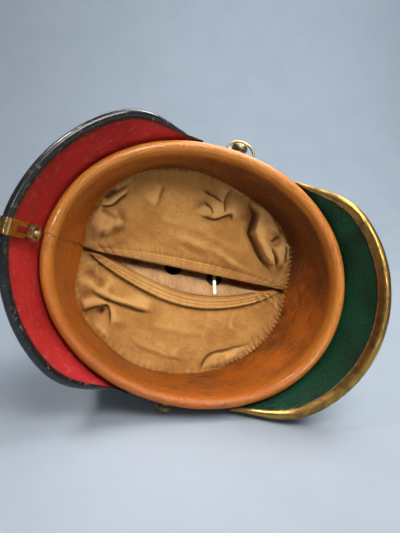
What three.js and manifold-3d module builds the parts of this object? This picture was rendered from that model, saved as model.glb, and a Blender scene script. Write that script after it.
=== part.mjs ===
// A leather pickelhaube lying on its left side with its hollow towards -Y.
// Sizes are millimetres. The pieces are drawn in the helmet's own frame and then laid down:
// +X to the front, +Y to the wearer's left, +Z up to the spike, and the rim at Z = 0.
import * as THREE from 'three';
import { mergeVertices } from 'three/addons/utils/BufferGeometryUtils.js';
import Module from 'manifold-3d';

const wasm = await Module();
wasm.setup();

// Driving sizes
const SEAT_GAP = 0.3;
const HOLE = { sides: 8, cutter: 10 };
const SHELL = {
  halfLength: 102.8, halfWidth: 87.2, height: 120, rimWall: 2.6, crownWall: 1.5, planPower: 2.06,
  sidePower: 4.8, crownPower: 2.2, apexX: -5, apexY: -2.9, ventRadius: 8, ventSides: 16,
  around: 40, upward: 12, rowSpread: 0.9,
};
const FRONT_VISOR = {
  facing: 1, endX: 46.5, centreX: 46.5, reach: 74, rightWidth: 84.5, leftWidth: 82, power: 2,
  turnDegrees: 89, shellTurnDegrees: 64.2, slope: 0.36, thickness: 3, flange: 6,
  bendOut: 0.4, bendDrop: 2, endDrop: 1.6, endPower: 8, columns: 22, rows: 4,
};
const REAR_VISOR = {
  facing: -1, endX: -24, centreX: -46, reach: 73.2, rightWidth: 92, leftWidth: 90.3, power: 1.8,
  turnDegrees: 104, shellTurnDegrees: 75, slope: 0.385, thickness: 2.2, flange: 6,
  bendOut: 0.4, bendDrop: 2, endDrop: 1, endPower: 8, columns: 24, rows: 4,
};
const CHANNEL = {
  seat: 0.4, turnFrom: 0.25, turnTo: 0.75, rows: 6, widestShare: 0.55, taper: 3, endEase: 0.3, endPower: 8,
};
const FRONT_TRIM = { thickness: 1.3, flangeMiddle: 6.4, flangeEnd: 1.8 };
const REAR_EDGING = { thickness: 1.1, flangeMiddle: 4.2, flangeEnd: 1.7 };
const SWEATBAND = { thickness: 2, around: 36, rowsAcross: 8 };
const LINER = {
  thickness: 1.4, casingThickness: 2.4, casingShare: 0.12, columns: 24, rows: 8, lift: 1.4,
  seamGapDegrees: 1.3, slitGap: 1.2, slitRise: 14, puff: 4,
  rear: { x: -70, y: 4.3, degrees: 177 }, front: { x: 67, y: -7.3, degrees: -5 },
  bow: 16, bowSkew: 1.25,
};
const BASE = { wall: 0.45, around: 24, edgeRadius: 44.5, neckRadius: 10.5, neckTop: 18 };
const SPIKE = {
  wall: 0.45, foot: 11, collarRadius: 12.8, collarHeight: 3, collarBevel: 1, rootRadius: 11.8, rootRise: 4,
  length: 64, tipRadius: 1, tipHeight: 1, tipWall: 2.5, sides: 20,
};
const STUD = {
  circleRadius: 38, headRadius: 5, headHeight: 3, shankRadius: 1.5, holeRadius: 1.9,
  legWidth: 2.8, legThickness: 0.8, legLength: 14, washerRadius: 7, washerThickness: 1, washerSeat: 0.9,
  headSeat: 0.8, sides: 14,
};
const SPINE = {
  width: 9.6, thickness: 0.8, seat: 0.45, shellSteps: 20, aboveFlange: 8, belowBase: 1.5, turnDegrees: -1.8,
  foldSteps: 4, slotWidth: 4.6, slotFrom: 0.74, slotTo: 0.9, slotDepth: 6,
};
const SCREW = { share: 0.64, shankRadius: 2.2, headRadius: 4.2, headHeight: 2.4, standOut: 2.4, sides: 16 };
const NUT = { acrossCorners: 11.5, thickness: 3.6 };
const POST = {
  x: 4, z: 12, plateRadius: 5, plateThickness: 1, backSeat: 0.6, shankRadius: 2, flangeRadius: 6.5,
  flangeThickness: 1, neckRadius: 3.2, neckFoot: 0.2, knobRadius: 5.6, knobBottom: 4.3, knobRound: 1,
  shoulder: 2.8, domeShare: 0.8,
  faceRadius: 2.6, height: 9, eyeHeight: 2.9, eyeRadius: 1.3, sides: 12,
};
const RING = { halfWidth: 9.4, rise: 9.2, wireRadius: 0.9, wireSides: 6, bowSteps: 14, corner: 1.2 };
const LIE = { frontDipDegrees: 16.1, spikeSinkDegrees: 9.4 };

// Sweatband sections from the tuck under the shell's edge, round the roll, up to the free edge
const SWEATBAND_ROWS = [
  { height: -1.3, halfLength: 102.0, halfWidth: 86.4, centreX: 0 },
  { height: -3.6, halfLength: 101.3, halfWidth: 85.7, centreX: 0 },
  { height: -4.7, halfLength: 99.6, halfWidth: 84.0, centreX: 0 },
  { height: -3.6, halfLength: 97.3, halfWidth: 81.7, centreX: 0 },
  { height: -0.8, halfLength: 96.2, halfWidth: 80.6, centreX: 0 },
  { height: 8, halfLength: 95.2, halfWidth: 79.9, centreX: 0 },
  { height: 22, halfLength: 91.8, halfWidth: 79.0, centreX: -0.6 },
  { height: 36, halfLength: 86.6, halfWidth: 78.0, centreX: -1.4 },
  { height: 50, halfLength: 80.0, halfWidth: 77.0, centreX: -2 },
];

// Main folds of the lining: a ridge (towards the rim) or a dent, along a line from one point to the other
const RIGHT_FOLDS = [
  { fromX: -66, fromY: -46, toX: -52, toY: -34, width: 5, ridge: 4 },
  { fromX: -58, fromY: -52, toX: -46, toY: -36, width: 4, ridge: -3.5 },
  { fromX: 34, fromY: -62, toX: 42, toY: -38, width: 5, ridge: -5 },
  { fromX: 42, fromY: -38, toX: 60, toY: -18, width: 5, ridge: -5 },
  { fromX: 48, fromY: -54, toX: 66, toY: -28, width: 7, ridge: 5 },
  { fromX: 2, fromY: -47, toX: 28, toY: -48, width: 4, ridge: 2.5 },
];
const LEFT_FOLDS = [
  { fromX: -74, fromY: 32, toX: -40, toY: 30, width: 5, ridge: 4 },
  { fromX: -70, fromY: 40, toX: -46, toY: 38, width: 4, ridge: -3.5 },
  { fromX: -62, fromY: 50, toX: -50, toY: 52, width: 5, ridge: 4 },
  { fromX: 24, fromY: 66, toX: 56, toY: 44, width: 5, ridge: 3.5 },
];

// Spike base sections from its edge up the neck: rows that follow the crown, then rows above the apex
const BASE_ROWS = [
  { radius: BASE.edgeRadius, lift: 0.7, followsCrown: true },
  { radius: 38, lift: 0.7, followsCrown: true },
  { radius: 29, lift: 1.0, followsCrown: true },
  { radius: 21, lift: 2.2, followsCrown: true },
  { radius: 14.5, lift: 5, followsCrown: false },
  { radius: 11.6, lift: 8, followsCrown: false },
  { radius: BASE.neckRadius, lift: 11, followsCrown: false },
  { radius: BASE.neckRadius, lift: BASE.neckTop, followsCrown: false },
];

// The half-round rings in the side posts: slid to the front along the bar, and swung up from the shell
const RING_POSES = [
  { side: 'left', sign: 1, slide: 3.6, swingDegrees: 17 },
  { side: 'right', sign: -1, slide: 1.5, swingDegrees: 70 },
];

// Half section of a stud's domed head: share of its radius, and of its height
const STUD_HEAD = [
  { across: 1, rise: 0 }, { across: 0.92, rise: 0.45 }, { across: 0.6, rise: 0.85 }, { across: 0, rise: 1 },
];

// The spine along the rear visor: share of the way from the shell to the edge, and what it lies over
const SPINE_ABOVE = [
  { share: 0, overEdging: false }, { share: 0.3, overEdging: false }, { share: 0.5, overEdging: false },
  { share: 0.7, overEdging: false }, { share: 0.8, overEdging: true }, { share: 0.92, overEdging: true },
];
const SPINE_BELOW = [
  { share: 0.86, overEdging: true }, { share: 0.76, overEdging: false }, { share: 0.5, overEdging: false },
];

const UP = new THREE.Vector3(0, 0, 1);
const radians = THREE.MathUtils.degToRad;

/** Signed power, for superellipses. */
function signedPower(value, power) {
  return Math.sign(value) * Math.abs(value) ** power;
}

/** Point of the helmet's oval plan at an angle from the front. */
function ovalPoint(halfLength, halfWidth, angle, centreX = 0, centreY = 0, height = 0) {
  const power = 2 / SHELL.planPower;
  return new THREE.Vector3(
    centreX + halfLength * signedPower(Math.cos(angle), power),
    centreY + halfWidth * signedPower(Math.sin(angle), power),
    height,
  );
}

/** Outward direction of the oval plan at one of its points. */
function ovalOutward(point) {
  const power = SHELL.planPower - 1;
  return new THREE.Vector3(
    signedPower(point.x / SHELL.halfLength, power) / SHELL.halfLength,
    signedPower(point.y / SHELL.halfWidth, power) / SHELL.halfWidth,
    0,
  ).normalize();
}

/** Closed solid from triangles: shared vertices merged, flat slivers dropped and faces turned outward. */
function closedGeometry(positions, triangles) {
  const loose = new THREE.BufferGeometry();
  loose.setAttribute('position', new THREE.Float32BufferAttribute(positions, 3));
  loose.setIndex(triangles);
  const merged = mergeVertices(loose, 1e-3);
  const source = merged.getIndex().array;
  const place = merged.getAttribute('position');
  const corners = [new THREE.Vector3(), new THREE.Vector3(), new THREE.Vector3()];
  const kept = [];
  let volume = 0;
  for (let start = 0; start < source.length; start += 3) {
    const [a, b, c] = [source[start], source[start + 1], source[start + 2]];
    if (a === b || b === c || c === a) continue;
    corners.forEach((corner, slot) => corner.fromBufferAttribute(place, source[start + slot]));
    volume += corners[0].dot(corners[1].clone().cross(corners[2]));
    kept.push(a, b, c);
  }
  if (volume < 0) {
    for (let start = 0; start < kept.length; start += 3) {
      [kept[start + 1], kept[start + 2]] = [kept[start + 2], kept[start + 1]];
    }
  }
  merged.setIndex(kept);
  return merged;
}

/** Closed wall between two surfaces over (u, v), both running 0 to 1; a closed wall meets itself in u. */
function wallGeometry(outer, inner, columns, rows, closed) {
  const lines = closed ? columns : columns + 1;
  const positions = [];
  for (const surface of [outer, inner]) {
    for (let i = 0; i < lines; i += 1) {
      for (let j = 0; j <= rows; j += 1) positions.push(...surface(i / columns, j / rows).toArray());
    }
  }
  const inside = lines * (rows + 1);
  const at = (i, j) => (i % lines) * (rows + 1) + j;
  const triangles = [];
  const quad = (a, b, c, d) => triangles.push(a, b, c, a, c, d);
  for (let i = 0; i < columns; i += 1) {
    for (let j = 0; j < rows; j += 1) {
      quad(at(i, j), at(i + 1, j), at(i + 1, j + 1), at(i, j + 1));
      quad(inside + at(i, j), inside + at(i, j + 1), inside + at(i + 1, j + 1), inside + at(i + 1, j));
    }
    quad(at(i, 0), inside + at(i, 0), inside + at(i + 1, 0), at(i + 1, 0));
    quad(at(i, rows), at(i + 1, rows), inside + at(i + 1, rows), inside + at(i, rows));
  }
  for (let j = 0; j < rows && !closed; j += 1) {
    quad(at(0, j), at(0, j + 1), inside + at(0, j + 1), inside + at(0, j));
    quad(at(columns, j), inside + at(columns, j), inside + at(columns, j + 1), at(columns, j + 1));
  }
  return closedGeometry(positions, triangles);
}

/** Unit normal of a surface over (u, v), by small steps. */
function surfaceNormal(surface, u, v) {
  const step = 1e-3;
  const along = surface(u + step, v).sub(surface(u - step, v));
  const across = surface(u, v + step).sub(surface(u, v - step));
  return along.cross(across).normalize();
}

/** Wall of even or varying thickness on both sides of a middle surface. */
function sheetGeometry(middle, thicknessAt, columns, rows, closed) {
  const side = (sign) => (u, v) => {
    const normal = surfaceNormal(middle, u, v);
    return middle(u, v).addScaledVector(normal, (sign * thicknessAt(u, v)) / 2);
  };
  return wallGeometry(side(1), side(-1), columns, rows, closed);
}

/** Manifold solid of a closed geometry. */
function solidOf(geometry) {
  const bare = geometry.index ? geometry.toNonIndexed() : geometry.clone();
  const position = bare.getAttribute('position');
  const order = Array.from({ length: position.count }, (_, index) => index);
  const closed = closedGeometry(Array.from(position.array), order);
  const mesh = new wasm.Mesh({
    numProp: 3,
    vertProperties: new Float32Array(closed.getAttribute('position').array),
    triVerts: new Uint32Array(closed.getIndex().array),
  });
  return new wasm.Manifold(mesh);
}

/** Geometry of a manifold solid. */
function geometryOf(solid) {
  const mesh = solid.getMesh();
  return closedGeometry(Array.from(mesh.vertProperties), Array.from(mesh.triVerts));
}

/** One geometry with others joined to it and others cut from it. */
function combine(base, joined = [], cut = []) {
  let solid = solidOf(base);
  for (const geometry of joined) solid = solid.add(solidOf(geometry));
  for (const geometry of cut) solid = solid.subtract(solidOf(geometry));
  return geometryOf(solid);
}

/** Lathe about +Z from [radius, height] pairs that start and end on the axis. */
function turned(profile, sides) {
  const points = profile.map(([radius, height]) => new THREE.Vector2(radius, height));
  return new THREE.LatheGeometry(points, sides).rotateX(Math.PI / 2);
}

/** Round pin about +Z between two heights. */
function pin(radius, bottom, top, sides) {
  return turned([[0, bottom], [radius, bottom], [radius, top], [0, top]], sides);
}

/** Pin that cuts a round hole through a wall. */
function holeCutter(radius, sides = HOLE.sides) {
  return pin(radius, -HOLE.cutter, HOLE.cutter, sides);
}

/** The geometry turned from +Z to a direction and moved to a point. */
function placed(geometry, point, direction) {
  const turn = new THREE.Quaternion().setFromUnitVectors(UP, direction);
  return geometry.clone().applyQuaternion(turn).translate(point.x, point.y, point.z);
}

/** Named mesh with its own finish. */
function piece(name, geometry, finish) {
  const mesh = new THREE.Mesh(geometry, new THREE.MeshStandardMaterial(finish));
  mesh.name = name;
  return mesh;
}

const FINISH = {
  shell: { color: 0x17120f, roughness: 0.35, metalness: 0 },
  green: { color: 0x0f4a2c, roughness: 0.6, metalness: 0 },
  red: { color: 0x9c1f1d, roughness: 0.55, metalness: 0 },
  black: { color: 0x15161a, roughness: 0.25, metalness: 0 },
  brass: { color: 0xa9803a, roughness: 0.35, metalness: 1 },
  oldBrass: { color: 0x776547, roughness: 0.4, metalness: 1 },
  washer: { color: 0x2e241e, roughness: 0.6, metalness: 0 },
  tan: { color: 0xb5672a, roughness: 0.5, metalness: 0 },
  cotton: { color: 0x9a6833, roughness: 0.9, metalness: 0 },
};

// Shell

/** Half profile of the shell from the rim (0) to the apex (1): share of the plan, and height. */
function shellProfile() {
  const fine = [];
  const samples = 400;
  for (let k = 0; k <= samples; k += 1) {
    const angle = (Math.PI / 2) * (k / samples) ** 2;
    const share = Math.cos(angle) ** (2 / SHELL.crownPower);
    const height = SHELL.height * Math.sin(angle) ** (2 / SHELL.sidePower);
    const last = fine.at(-1);
    const step = last ? Math.hypot((share - last.share) * SHELL.halfWidth, height - last.height) : 0;
    fine.push({ share, height, run: (last ? last.run : 0) + step });
  }
  const total = fine.at(-1).run;
  return (fraction) => {
    if (fraction >= 1) return { share: 0, height: SHELL.height };
    const target = Math.max(fraction, 0) ** SHELL.rowSpread * total;
    const next = Math.max(1, fine.findIndex((row) => row.run >= target));
    const [low, high] = [fine[next - 1], fine[next]];
    const mix = (target - low.run) / (high.run - low.run);
    return {
      share: THREE.MathUtils.lerp(low.share, high.share, mix),
      height: THREE.MathUtils.lerp(low.height, high.height, mix),
    };
  };
}

const profileAt = shellProfile();

/** First fraction of the shell's profile, from the rim up, where a test holds. */
function profileFraction(test) {
  let fraction = 0;
  while (fraction < 1 && !test(profileAt(fraction))) fraction += 0.002;
  return fraction;
}

/** Middle of the shell's section at a height: the apex lies behind and to the right of the rim's middle. */
function sectionCentre(height) {
  const lean = (height / SHELL.height) ** 2;
  return { x: SHELL.apexX * lean, y: SHELL.apexY * lean };
}

/** Outer surface of the shell: u round from the front, v from the rim to the apex. */
function shellOuter(u, v) {
  const { share, height } = profileAt(v);
  const centre = sectionCentre(height);
  return ovalPoint(
    SHELL.halfLength * share, SHELL.halfWidth * share, u * 2 * Math.PI, centre.x, centre.y, height);
}

/** Outward direction of the shell at a point of its outer surface. */
function shellOutward(point) {
  const centre = sectionCentre(point.z);
  const x = (point.x - centre.x) / SHELL.halfLength;
  const y = (point.y - centre.y) / SHELL.halfWidth;
  const share = (Math.abs(x) ** SHELL.planPower + Math.abs(y) ** SHELL.planPower) ** (1 / SHELL.planPower);
  if (share < 1e-6) return UP.clone();
  const plan = SHELL.planPower - 1;
  const outwardShare = SHELL.crownPower * share ** (SHELL.crownPower - SHELL.planPower);
  const height = Math.max(point.z, 0) / SHELL.height;
  return new THREE.Vector3(
    (outwardShare * signedPower(x, plan)) / SHELL.halfLength,
    (outwardShare * signedPower(y, plan)) / SHELL.halfWidth,
    (SHELL.sidePower * height ** (SHELL.sidePower - 1)) / SHELL.height,
  ).normalize();
}

/** Height of the shell's outer surface above a place on its plan. */
function crownHeight(x, y) {
  let [low, high] = [0, SHELL.height];
  for (let step = 0; step < 40; step += 1) {
    const middle = (low + high) / 2;
    const centre = sectionCentre(middle);
    const along = Math.abs((x - centre.x) / SHELL.halfLength) ** SHELL.planPower;
    const across = Math.abs((y - centre.y) / SHELL.halfWidth) ** SHELL.planPower;
    const share = (along + across) ** (1 / SHELL.planPower);
    const room = share ** SHELL.crownPower + (middle / SHELL.height) ** SHELL.sidePower;
    if (room < 1) low = middle;
    else high = middle;
  }
  return low;
}

/** Place and direction of each stud of the spike's base on the crown's outside. */
function studPlaces() {
  const sides = [['front', 0], ['rear_left', 120], ['rear_right', 240]];
  return sides.map(([side, degrees]) => {
    const x = SHELL.apexX + STUD.circleRadius * Math.cos(radians(degrees));
    const y = SHELL.apexY + STUD.circleRadius * Math.sin(radians(degrees));
    const point = new THREE.Vector3(x, y, crownHeight(x, y));
    return { side, point, outward: shellOutward(point) };
  });
}

/** Place and direction of the side posts on the shell's outside, with the pose of their rings. */
function postPlaces() {
  return RING_POSES.map(({ side, sign, slide, swingDegrees }) => {
    const centre = sectionCentre(POST.z);
    const share = (1 - (POST.z / SHELL.height) ** SHELL.sidePower) ** (1 / SHELL.crownPower);
    const along = Math.abs((POST.x - centre.x) / (SHELL.halfLength * share)) ** SHELL.planPower;
    const y = centre.y + sign * SHELL.halfWidth * share * (1 - along) ** (1 / SHELL.planPower);
    const point = new THREE.Vector3(POST.x, y, POST.z);
    return { side, slide, swingDegrees, point, outward: shellOutward(point) };
  });
}

function makeShell() {
  const inner = (u, v) => {
    const point = shellOuter(u, v);
    const inward = shellOutward(point).negate();
    if (v === 0) inward.setZ(0).normalize();
    return point.addScaledVector(inward, THREE.MathUtils.lerp(SHELL.rimWall, SHELL.crownWall, v));
  };
  const wall = wallGeometry(shellOuter, inner, SHELL.around, SHELL.upward, true);
  const vent = holeCutter(SHELL.ventRadius, SHELL.ventSides)
    .translate(SHELL.apexX, SHELL.apexY, SHELL.height);
  const studHoles = studPlaces().map(({ point, outward }) => (
    placed(holeCutter(STUD.holeRadius), point, outward)));
  const postHoles = postPlaces().map(({ point, outward }) => (
    placed(holeCutter(POST.shankRadius + SEAT_GAP), point, outward)));
  return piece('shell', combine(wall, [], [vent, ...studHoles, ...postHoles]), FINISH.shell);
}

// Visors and their edges

/** Middle surface of a visor: u from the right end to the left end, v from the shell to the free edge. */
function visorSurface(spec) {
  const seat = SEAT_GAP + spec.thickness / 2;
  const edge = (swing) => {
    const angle = swing * radians(spec.turnDegrees);
    const x = spec.centreX + spec.facing * spec.reach * signedPower(Math.cos(angle), 2 / spec.power);
    const width = swing < 0 ? spec.rightWidth : spec.leftWidth;
    const y = width * signedPower(Math.sin(angle), 2 / spec.power);
    return new THREE.Vector3(x, y, -spec.endDrop - spec.slope * Math.abs(x - spec.endX));
  };
  return (u, v) => {
    const swing = 2 * u - 1;
    const angle = swing * radians(spec.shellTurnDegrees);
    const root = ovalPoint(spec.facing * SHELL.halfLength, SHELL.halfWidth, angle);
    const outward = ovalOutward(root);
    const seam = root.clone().addScaledVector(outward, seat).setZ(spec.flange);
    const rim = edge(swing);
    const straight = seam.clone().lerp(rim, 0.5);
    const bend = root.clone().addScaledVector(outward, seat + spec.bendOut).setZ(-spec.bendDrop)
      .lerp(straight, Math.abs(swing) ** spec.endPower);
    return seam.multiplyScalar((1 - v) ** 2)
      .addScaledVector(bend, 2 * v * (1 - v))
      .addScaledVector(rim, v ** 2);
  };
}

/** Upper, outward direction of a visor's surface. */
function visorNormal(spec, surface, u, v) {
  return surfaceNormal(surface, u, v).multiplyScalar(-spec.facing);
}

/** Direction in which a visor's surface runs out over its free edge. */
function edgeOutward(surface, u) {
  const step = 0.02;
  return surface(u, 1).sub(surface(u, 1 - step)).normalize();
}

/** Channel folded round a visor's free edge: v runs from the upper flange's tip to the lower one's. */
function edgeChannel(spec, surface, trim) {
  const flangeShare = (u) => {
    const length = surface(u, 1).distanceTo(surface(u, 0));
    const endness = Math.abs(2 * u - 1) ** CHANNEL.taper;
    const flange = THREE.MathUtils.lerp(trim.flangeMiddle, trim.flangeEnd, endness);
    return Math.min(flange / length, CHANNEL.widestShare);
  };
  const { turnFrom, turnTo } = CHANNEL;
  const side = (depth) => (u, v) => {
    const offset = depth + CHANNEL.endEase * Math.abs(2 * u - 1) ** CHANNEL.endPower;
    if (v > turnFrom && v < turnTo) {
      const normal = visorNormal(spec, surface, u, 1);
      const outward = edgeOutward(surface, u);
      const angle = (Math.PI * (v - turnFrom)) / (turnTo - turnFrom);
      return surface(u, 1)
        .addScaledVector(normal, offset * Math.cos(angle))
        .addScaledVector(outward, offset * Math.sin(angle));
    }
    const upper = v <= turnFrom;
    const reach = upper ? 1 - v / turnFrom : (v - turnTo) / (1 - turnTo);
    const across = 1 - reach * flangeShare(u);
    const normal = visorNormal(spec, surface, u, across);
    return surface(u, across).addScaledVector(normal, upper ? offset : -offset);
  };
  const insideOffset = spec.thickness / 2 + CHANNEL.seat;
  const outside = side(insideOffset + trim.thickness);
  return wallGeometry(outside, side(insideOffset), spec.columns, CHANNEL.rows, false);
}

/** Leather of a visor. */
function visorSheet(spec, surface) {
  return sheetGeometry(surface, () => spec.thickness, spec.columns, spec.rows, false);
}

function makeFrontVisor() {
  const surface = visorSurface(FRONT_VISOR);
  return [
    piece('front_visor', visorSheet(FRONT_VISOR, surface), FINISH.green),
    piece('front_trim', edgeChannel(FRONT_VISOR, surface, FRONT_TRIM), FINISH.brass),
  ];
}

/** Place and direction, through the rear visor, of the spine's screw. */
function screwPlace(surface) {
  return { point: surface(0.5, SCREW.share), outward: visorNormal(REAR_VISOR, surface, 0.5, SCREW.share) };
}

function makeRearVisor() {
  const surface = visorSurface(REAR_VISOR);
  const { point, outward } = screwPlace(surface);
  const hole = placed(holeCutter(SCREW.shankRadius + SEAT_GAP, SCREW.sides), point, outward)
    .rotateZ(radians(SPINE.turnDegrees));
  return [
    piece('rear_visor', combine(visorSheet(REAR_VISOR, surface), [], [hole]), FINISH.red),
    piece('rear_edging', edgeChannel(REAR_VISOR, surface, REAR_EDGING), FINISH.black),
  ];
}

// Rear spine, its screw and nut

/** Middle line of the spine in the helmet's middle plane, from the spike's base to the end of the tab. */
function spineLine(surface) {
  const half = SPINE.thickness / 2;
  const line = [];
  const overVisor = REAR_VISOR.thickness / 2 + SPINE.seat + half;
  const overEdging = overVisor + REAR_EDGING.thickness + CHANNEL.seat;
  const bottom = profileFraction(({ height }) => height >= REAR_VISOR.flange + SPINE.aboveFlange);
  const top = profileFraction(({ share }) => share * SHELL.halfLength <= BASE.edgeRadius + SPINE.belowBase);
  for (let k = 0; k <= SPINE.shellSteps; k += 1) {
    const { share, height } = profileAt(THREE.MathUtils.lerp(top, bottom, k / SPINE.shellSteps));
    const centre = sectionCentre(height);
    const point = new THREE.Vector3(centre.x - SHELL.halfLength * share, centre.y, height);
    line.push(point.addScaledVector(shellOutward(point), SPINE.seat + half));
  }
  const beside = (row, sign) => {
    const normal = visorNormal(REAR_VISOR, surface, 0.5, row.share);
    const lift = row.overEdging ? overEdging : overVisor;
    return surface(0.5, row.share).addScaledVector(normal, sign * lift);
  };
  line.push(...SPINE_ABOVE.map((row) => beside(row, 1)));
  const normal = visorNormal(REAR_VISOR, surface, 0.5, 1);
  const outward = edgeOutward(surface, 0.5);
  for (let k = 0; k <= SPINE.foldSteps; k += 1) {
    const angle = (Math.PI * k) / SPINE.foldSteps;
    line.push(surface(0.5, 1)
      .addScaledVector(normal, overEdging * Math.cos(angle))
      .addScaledVector(outward, overEdging * Math.sin(angle)));
  }
  line.push(...SPINE_BELOW.map((row) => beside(row, -1)));
  return line;
}

function makeSpine() {
  const surface = visorSurface(REAR_VISOR);
  const turn = radians(SPINE.turnDegrees);
  const line = spineLine(surface).map((point) => new THREE.Vector2(point.x, point.z));
  const sideways = line.map((_, k) => {
    const before = line[Math.max(k - 1, 0)];
    const after = line[Math.min(k + 1, line.length - 1)];
    const run = after.clone().sub(before).normalize();
    return new THREE.Vector2(-run.y, run.x).multiplyScalar(SPINE.thickness / 2);
  });
  const left = line.map((point, k) => point.clone().add(sideways[k]));
  const right = line.map((point, k) => point.clone().sub(sideways[k])).reverse();
  const band = new THREE.ExtrudeGeometry(new THREE.Shape([...left, ...right]), {
    depth: SPINE.width, bevelEnabled: false, steps: 1,
  }).rotateX(Math.PI / 2).translate(0, SPINE.width / 2, 0);
  const { point, outward } = screwPlace(surface);
  const hole = placed(holeCutter(SCREW.shankRadius + SEAT_GAP, SCREW.sides), point, outward);
  const slotMiddle = (SPINE.slotFrom + SPINE.slotTo) / 2;
  const slotLength = surface(0.5, SPINE.slotFrom).distanceTo(surface(0.5, SPINE.slotTo));
  const slotNormal = visorNormal(REAR_VISOR, surface, 0.5, slotMiddle);
  const slot = placed(
    new THREE.BoxGeometry(slotLength, SPINE.slotWidth, SPINE.slotDepth),
    surface(0.5, slotMiddle).addScaledVector(slotNormal, -SPINE.slotDepth / 2),
    slotNormal,
  );
  const bore = holeCutter(SCREW.shankRadius + SEAT_GAP, SCREW.sides);
  const tabFace = REAR_VISOR.thickness / 2 + SPINE.seat + SPINE.thickness + SEAT_GAP;
  const inward = outward.clone().negate();
  const nutBody = pin(NUT.acrossCorners / 2, 0, NUT.thickness, 6);
  const nut = placed(combine(nutBody, [], [bore]), point.clone().addScaledVector(inward, tabFace), inward);
  const reach = tabFace + NUT.thickness + SCREW.standOut;
  const screw = placed(turned([
    [0, -reach], [SCREW.shankRadius, -reach], [SCREW.shankRadius, tabFace],
    ...STUD_HEAD.map(({ across, rise }) => [SCREW.headRadius * across, tabFace + SCREW.headHeight * rise]),
  ], SCREW.sides), point, outward);
  return [
    piece('rear_spine', combine(band, [], [hole, slot]).rotateZ(turn), FINISH.brass),
    piece('spine_nut', nut.rotateZ(turn), FINISH.oldBrass),
    piece('spine_screw', screw.rotateZ(turn), FINISH.oldBrass),
  ];
}

// Sweatband and lining

/** Smooth surface through a table of oval sections: u round from the front, v along the table. */
function bandSurface(rows) {
  const curve = (key, slot) => new THREE.CatmullRomCurve3(
    rows.map((row) => new THREE.Vector3(row[key[0]], row[key[1]], slot ? row[slot] : 0)));
  const size = curve(['halfLength', 'halfWidth'], 'height');
  const centre = curve(['centreX', 'height']);
  return (u, v) => {
    const along = THREE.MathUtils.clamp(v, 0, 1);
    const { x: halfLength, y: halfWidth, z: height } = size.getPoint(along);
    return ovalPoint(halfLength, halfWidth, u * 2 * Math.PI, centre.getPoint(along).x, 0, height);
  };
}

function makeSweatband() {
  const surface = bandSurface(SWEATBAND_ROWS);
  const sheet = sheetGeometry(
    surface, () => SWEATBAND.thickness, SWEATBAND.around, SWEATBAND.rowsAcross, true);
  return piece('sweatband', sheet, FINISH.tan);
}

/** Rise of a fold table at a place on the plan; positive is towards the rim. */
function foldRise(folds, x, y) {
  let rise = 0;
  for (const fold of folds) {
    const along = new THREE.Vector2(fold.toX - fold.fromX, fold.toY - fold.fromY);
    const length = along.length();
    along.divideScalar(length);
    const offset = new THREE.Vector2(x - fold.fromX, y - fold.fromY);
    const run = offset.dot(along);
    const beyond = Math.max(-run, run - length, 0);
    const sideways = offset.cross(along);
    rise += fold.ridge * Math.exp(-((sideways / fold.width) ** 2) - (beyond / (2 * fold.width)) ** 2);
  }
  return rise;
}

/** Middle surface of one half of the lining: u from the rear to the front, v from the band to the slit. */
function linerSurface(sign, folds) {
  const top = SWEATBAND_ROWS.at(-1);
  const fromDegrees = LINER.rear.degrees - sign * LINER.seamGapDegrees;
  const frontDegrees = sign > 0 ? LINER.front.degrees : LINER.front.degrees + 360;
  const toDegrees = frontDegrees + sign * LINER.seamGapDegrees;
  return (u, v) => {
    const angle = radians(THREE.MathUtils.lerp(fromDegrees, toDegrees, u));
    const edge = ovalPoint(top.halfLength, top.halfWidth, angle, top.centreX, 0, top.height + LINER.lift);
    const skewed = THREE.MathUtils.clamp(u, 0, 1) ** LINER.bowSkew;
    const bow = sign > 0 ? LINER.bow * Math.sin(Math.PI * skewed) : 0;
    const slit = new THREE.Vector3(
      THREE.MathUtils.lerp(LINER.rear.x, LINER.front.x, u),
      THREE.MathUtils.lerp(LINER.rear.y, LINER.front.y, u) + sign * LINER.slitGap + bow,
      top.height + LINER.lift + LINER.slitRise * Math.sin(Math.PI * u),
    );
    const point = edge.lerp(slit, v);
    const inField = Math.sin(Math.PI * THREE.MathUtils.clamp(v, 0, 1));
    point.z -= inField * (LINER.puff * Math.sin(Math.PI * u) + foldRise(folds, point.x, point.y));
    return point;
  };
}

function makeLiner() {
  const thicknessAt = (u, v) => (v > 1 - LINER.casingShare ? LINER.casingThickness : LINER.thickness);
  const half = (name, sign, folds) => {
    const surface = linerSurface(sign, folds);
    const cloth = sheetGeometry(surface, thicknessAt, LINER.columns, LINER.rows, false);
    return piece(name, cloth, FINISH.cotton);
  };
  return [half('liner_left', 1, LEFT_FOLDS), half('liner_right', -1, RIGHT_FOLDS)];
}

// Spike, its base and studs

function makeBase() {
  const rowAt = (v) => {
    const place = THREE.MathUtils.clamp(v, 0, 1) * (BASE_ROWS.length - 1);
    const low = Math.min(Math.floor(place), BASE_ROWS.length - 2);
    return { low: BASE_ROWS[low], high: BASE_ROWS[low + 1], mix: place - low };
  };
  const rowPoint = (row, angle) => {
    const x = SHELL.apexX + row.radius * Math.cos(angle);
    const y = SHELL.apexY + row.radius * Math.sin(angle);
    return new THREE.Vector3(x, y, (row.followsCrown ? crownHeight(x, y) : SHELL.height) + row.lift);
  };
  const middle = (u, v) => {
    const { low, high, mix } = rowAt(v);
    const angle = u * 2 * Math.PI;
    return rowPoint(low, angle).lerp(rowPoint(high, angle), mix);
  };
  const sheet = sheetGeometry(middle, () => BASE.wall, BASE.around, BASE_ROWS.length - 1, true);
  const holes = studPlaces().map(({ point, outward }) => (
    placed(holeCutter(STUD.holeRadius), point, outward)));
  return piece('spike_base', combine(sheet, [], holes), FINISH.brass);
}

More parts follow.
